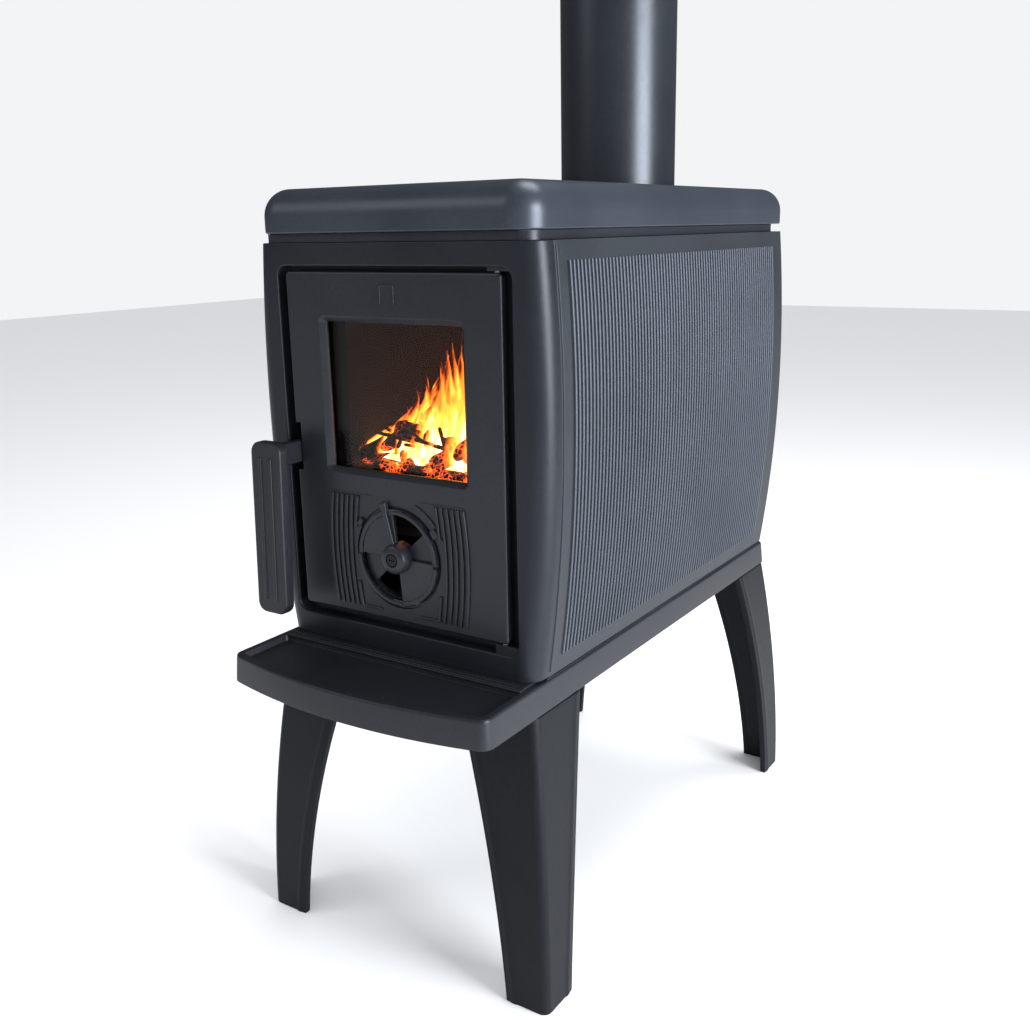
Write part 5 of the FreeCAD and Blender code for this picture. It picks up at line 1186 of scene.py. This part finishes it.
def flames():
    bm = bmesh.new()
    layer = bm.loops.layers.uv.new("flame")
    for number in range(FLAMES):
        turn = GOLDEN_TURN * number
        spread = math.sqrt((number + 1) / FLAMES)
        x, y = -28 + 66 * math.cos(turn) * spread, -136 + 22 * math.sin(turn) * spread
        height = (128 - 0.8 * abs(x - 16) - 11 * (number % 3)) * MM
        width = (9 + 3 * (number % 4)) * MM
        foot = Vector((x, y, 452 + 6 * (number % 3))) * MM
        facing = math.radians(14 + 22 * (number % 4))
        rows = []
        for step in range(25):
            up = step / 24
            swell = (1 - up) ** 0.8 * (0.5 + 0.9 * math.sin(math.pi * min(1, up + 0.12) ** 0.8))
            sway = MM * (9 * up * math.sin(5.0 * up + turn) + 16 * up**1.5)
            row = []
            for corner in range(9):
                across = corner / 4 - 1
                reach = across * width * swell + sway
                curl = 4 * MM * across**2 * math.cos(turn)
                spot = foot + Vector((reach * math.cos(facing) - curl * math.sin(facing),
                                      reach * math.sin(facing) + curl * math.cos(facing), up * height))
                row.append((bm.verts.new(spot), ((across + 1) / 2, up)))
            rows.append(row)
        for lower, upper in zip(rows, rows[1:]):
            for corners in zip(lower, lower[1:], upper[1:], upper):
                face = bm.faces.new([vert for vert, _ in corners])
                face.smooth = True
                for loop, (_, spot) in zip(face.loops, corners):
                    loop[layer].uv = spot
    mesh = bpy.data.meshes.new("flames")
    bm.to_mesh(mesh)
    bm.free()
    mesh.materials.append(flame_material())
    piece = bpy.data.objects.new("flames", mesh)
    bpy.context.scene.collection.objects.link(piece)
    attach(piece, "stove")
    return piece


flames()


# ---------------------------------------------------------------------------------------
# Studio. A pale floor, soft light from the right, the front left and above, and a camera a
# little below the lid's top, turned towards the stove's right-hand side. The white
# surround is much dimmer in reflections, so that dark paint stays dark.

CAMERA_AZIMUTH = 33.52
CAMERA_ELEVATION = 14.671
CAMERA_ROLL = -1.088
CAMERA_PLACE = (0.5996, -0.9411, 0.6681)
CAMERA_LENS = 38.46


def pale_floor():
    bm = bmesh.new()
    bmesh.ops.create_grid(bm, x_segments=1, y_segments=1, size=8)
    mesh = bpy.data.meshes.new("floor")
    bm.to_mesh(mesh)
    bm.free()
    mesh.materials.append(node_material("pale_floor", Base_Color=(0.86, 0.86, 0.87, 1), Roughness=0.7)[0])
    floor = bpy.data.objects.new("floor", mesh)
    bpy.context.scene.collection.objects.link(floor)


def soft_light(name, place, target, size, power, tint=(1, 1, 1)):
    lamp = bpy.data.lights.new(name, "AREA")
    lamp.size = size
    lamp.energy = power
    lamp.color = tint
    light = bpy.data.objects.new(name, lamp)
    light.location = place
    light.rotation_euler = (Vector(target) - Vector(place)).to_track_quat("-Z", "Y").to_euler()
    bpy.context.scene.collection.objects.link(light)


pale_floor()
soft_light("side_light", (2.3, -0.3, 0.85), (0.1, 0, 0.45), 1.1, 105, (0.93, 0.97, 1.0))
soft_light("key_light", (-1.9, -2.3, 2.2), (0, -0.1, 0.4), 1.3, 18, (0.96, 0.98, 1.0))
soft_light("top_light", (0.3, 0.5, 2.3), (0, 0, 0.7), 1.0, 30, (0.94, 0.98, 1.0))

world = bpy.data.worlds.new("studio")
world.use_nodes = True
surround = world.node_tree
dim = surround.nodes["Background"]
fill_sockets(surround, dim, {"Color": (0.92, 0.96, 1.0, 1), "Strength": 0.10})
backdrop = add_node(surround, "Background", {"Color": (0.97, 0.98, 1.0, 1), "Strength": 0.92})
seen = add_node(surround, "LightPath").outputs["Is Glossy Ray"]
either = add_node(surround, "MixShader", {"Fac": seen, 1: backdrop.outputs[0], 2: dim.outputs[0]})
fill_sockets(surround, surround.nodes["World Output"], {"Surface": either.outputs[0]})
bpy.context.scene.world = world
bpy.context.scene.view_settings.view_transform = "Standard"

camera_data = bpy.data.cameras.new("camera")
camera_data.lens = CAMERA_LENS
camera = bpy.data.objects.new("camera", camera_data)
turn = (Matrix.Rotation(math.radians(CAMERA_AZIMUTH), 3, "Z")
        @ Matrix.Rotation(math.radians(90 - CAMERA_ELEVATION), 3, "X")
        @ Matrix.Rotation(math.radians(CAMERA_ROLL), 3, "Z"))
camera.rotation_euler = turn.to_euler()
camera.location = CAMERA_PLACE
bpy.context.scene.collection.objects.link(camera)
bpy.context.scene.camera = camera
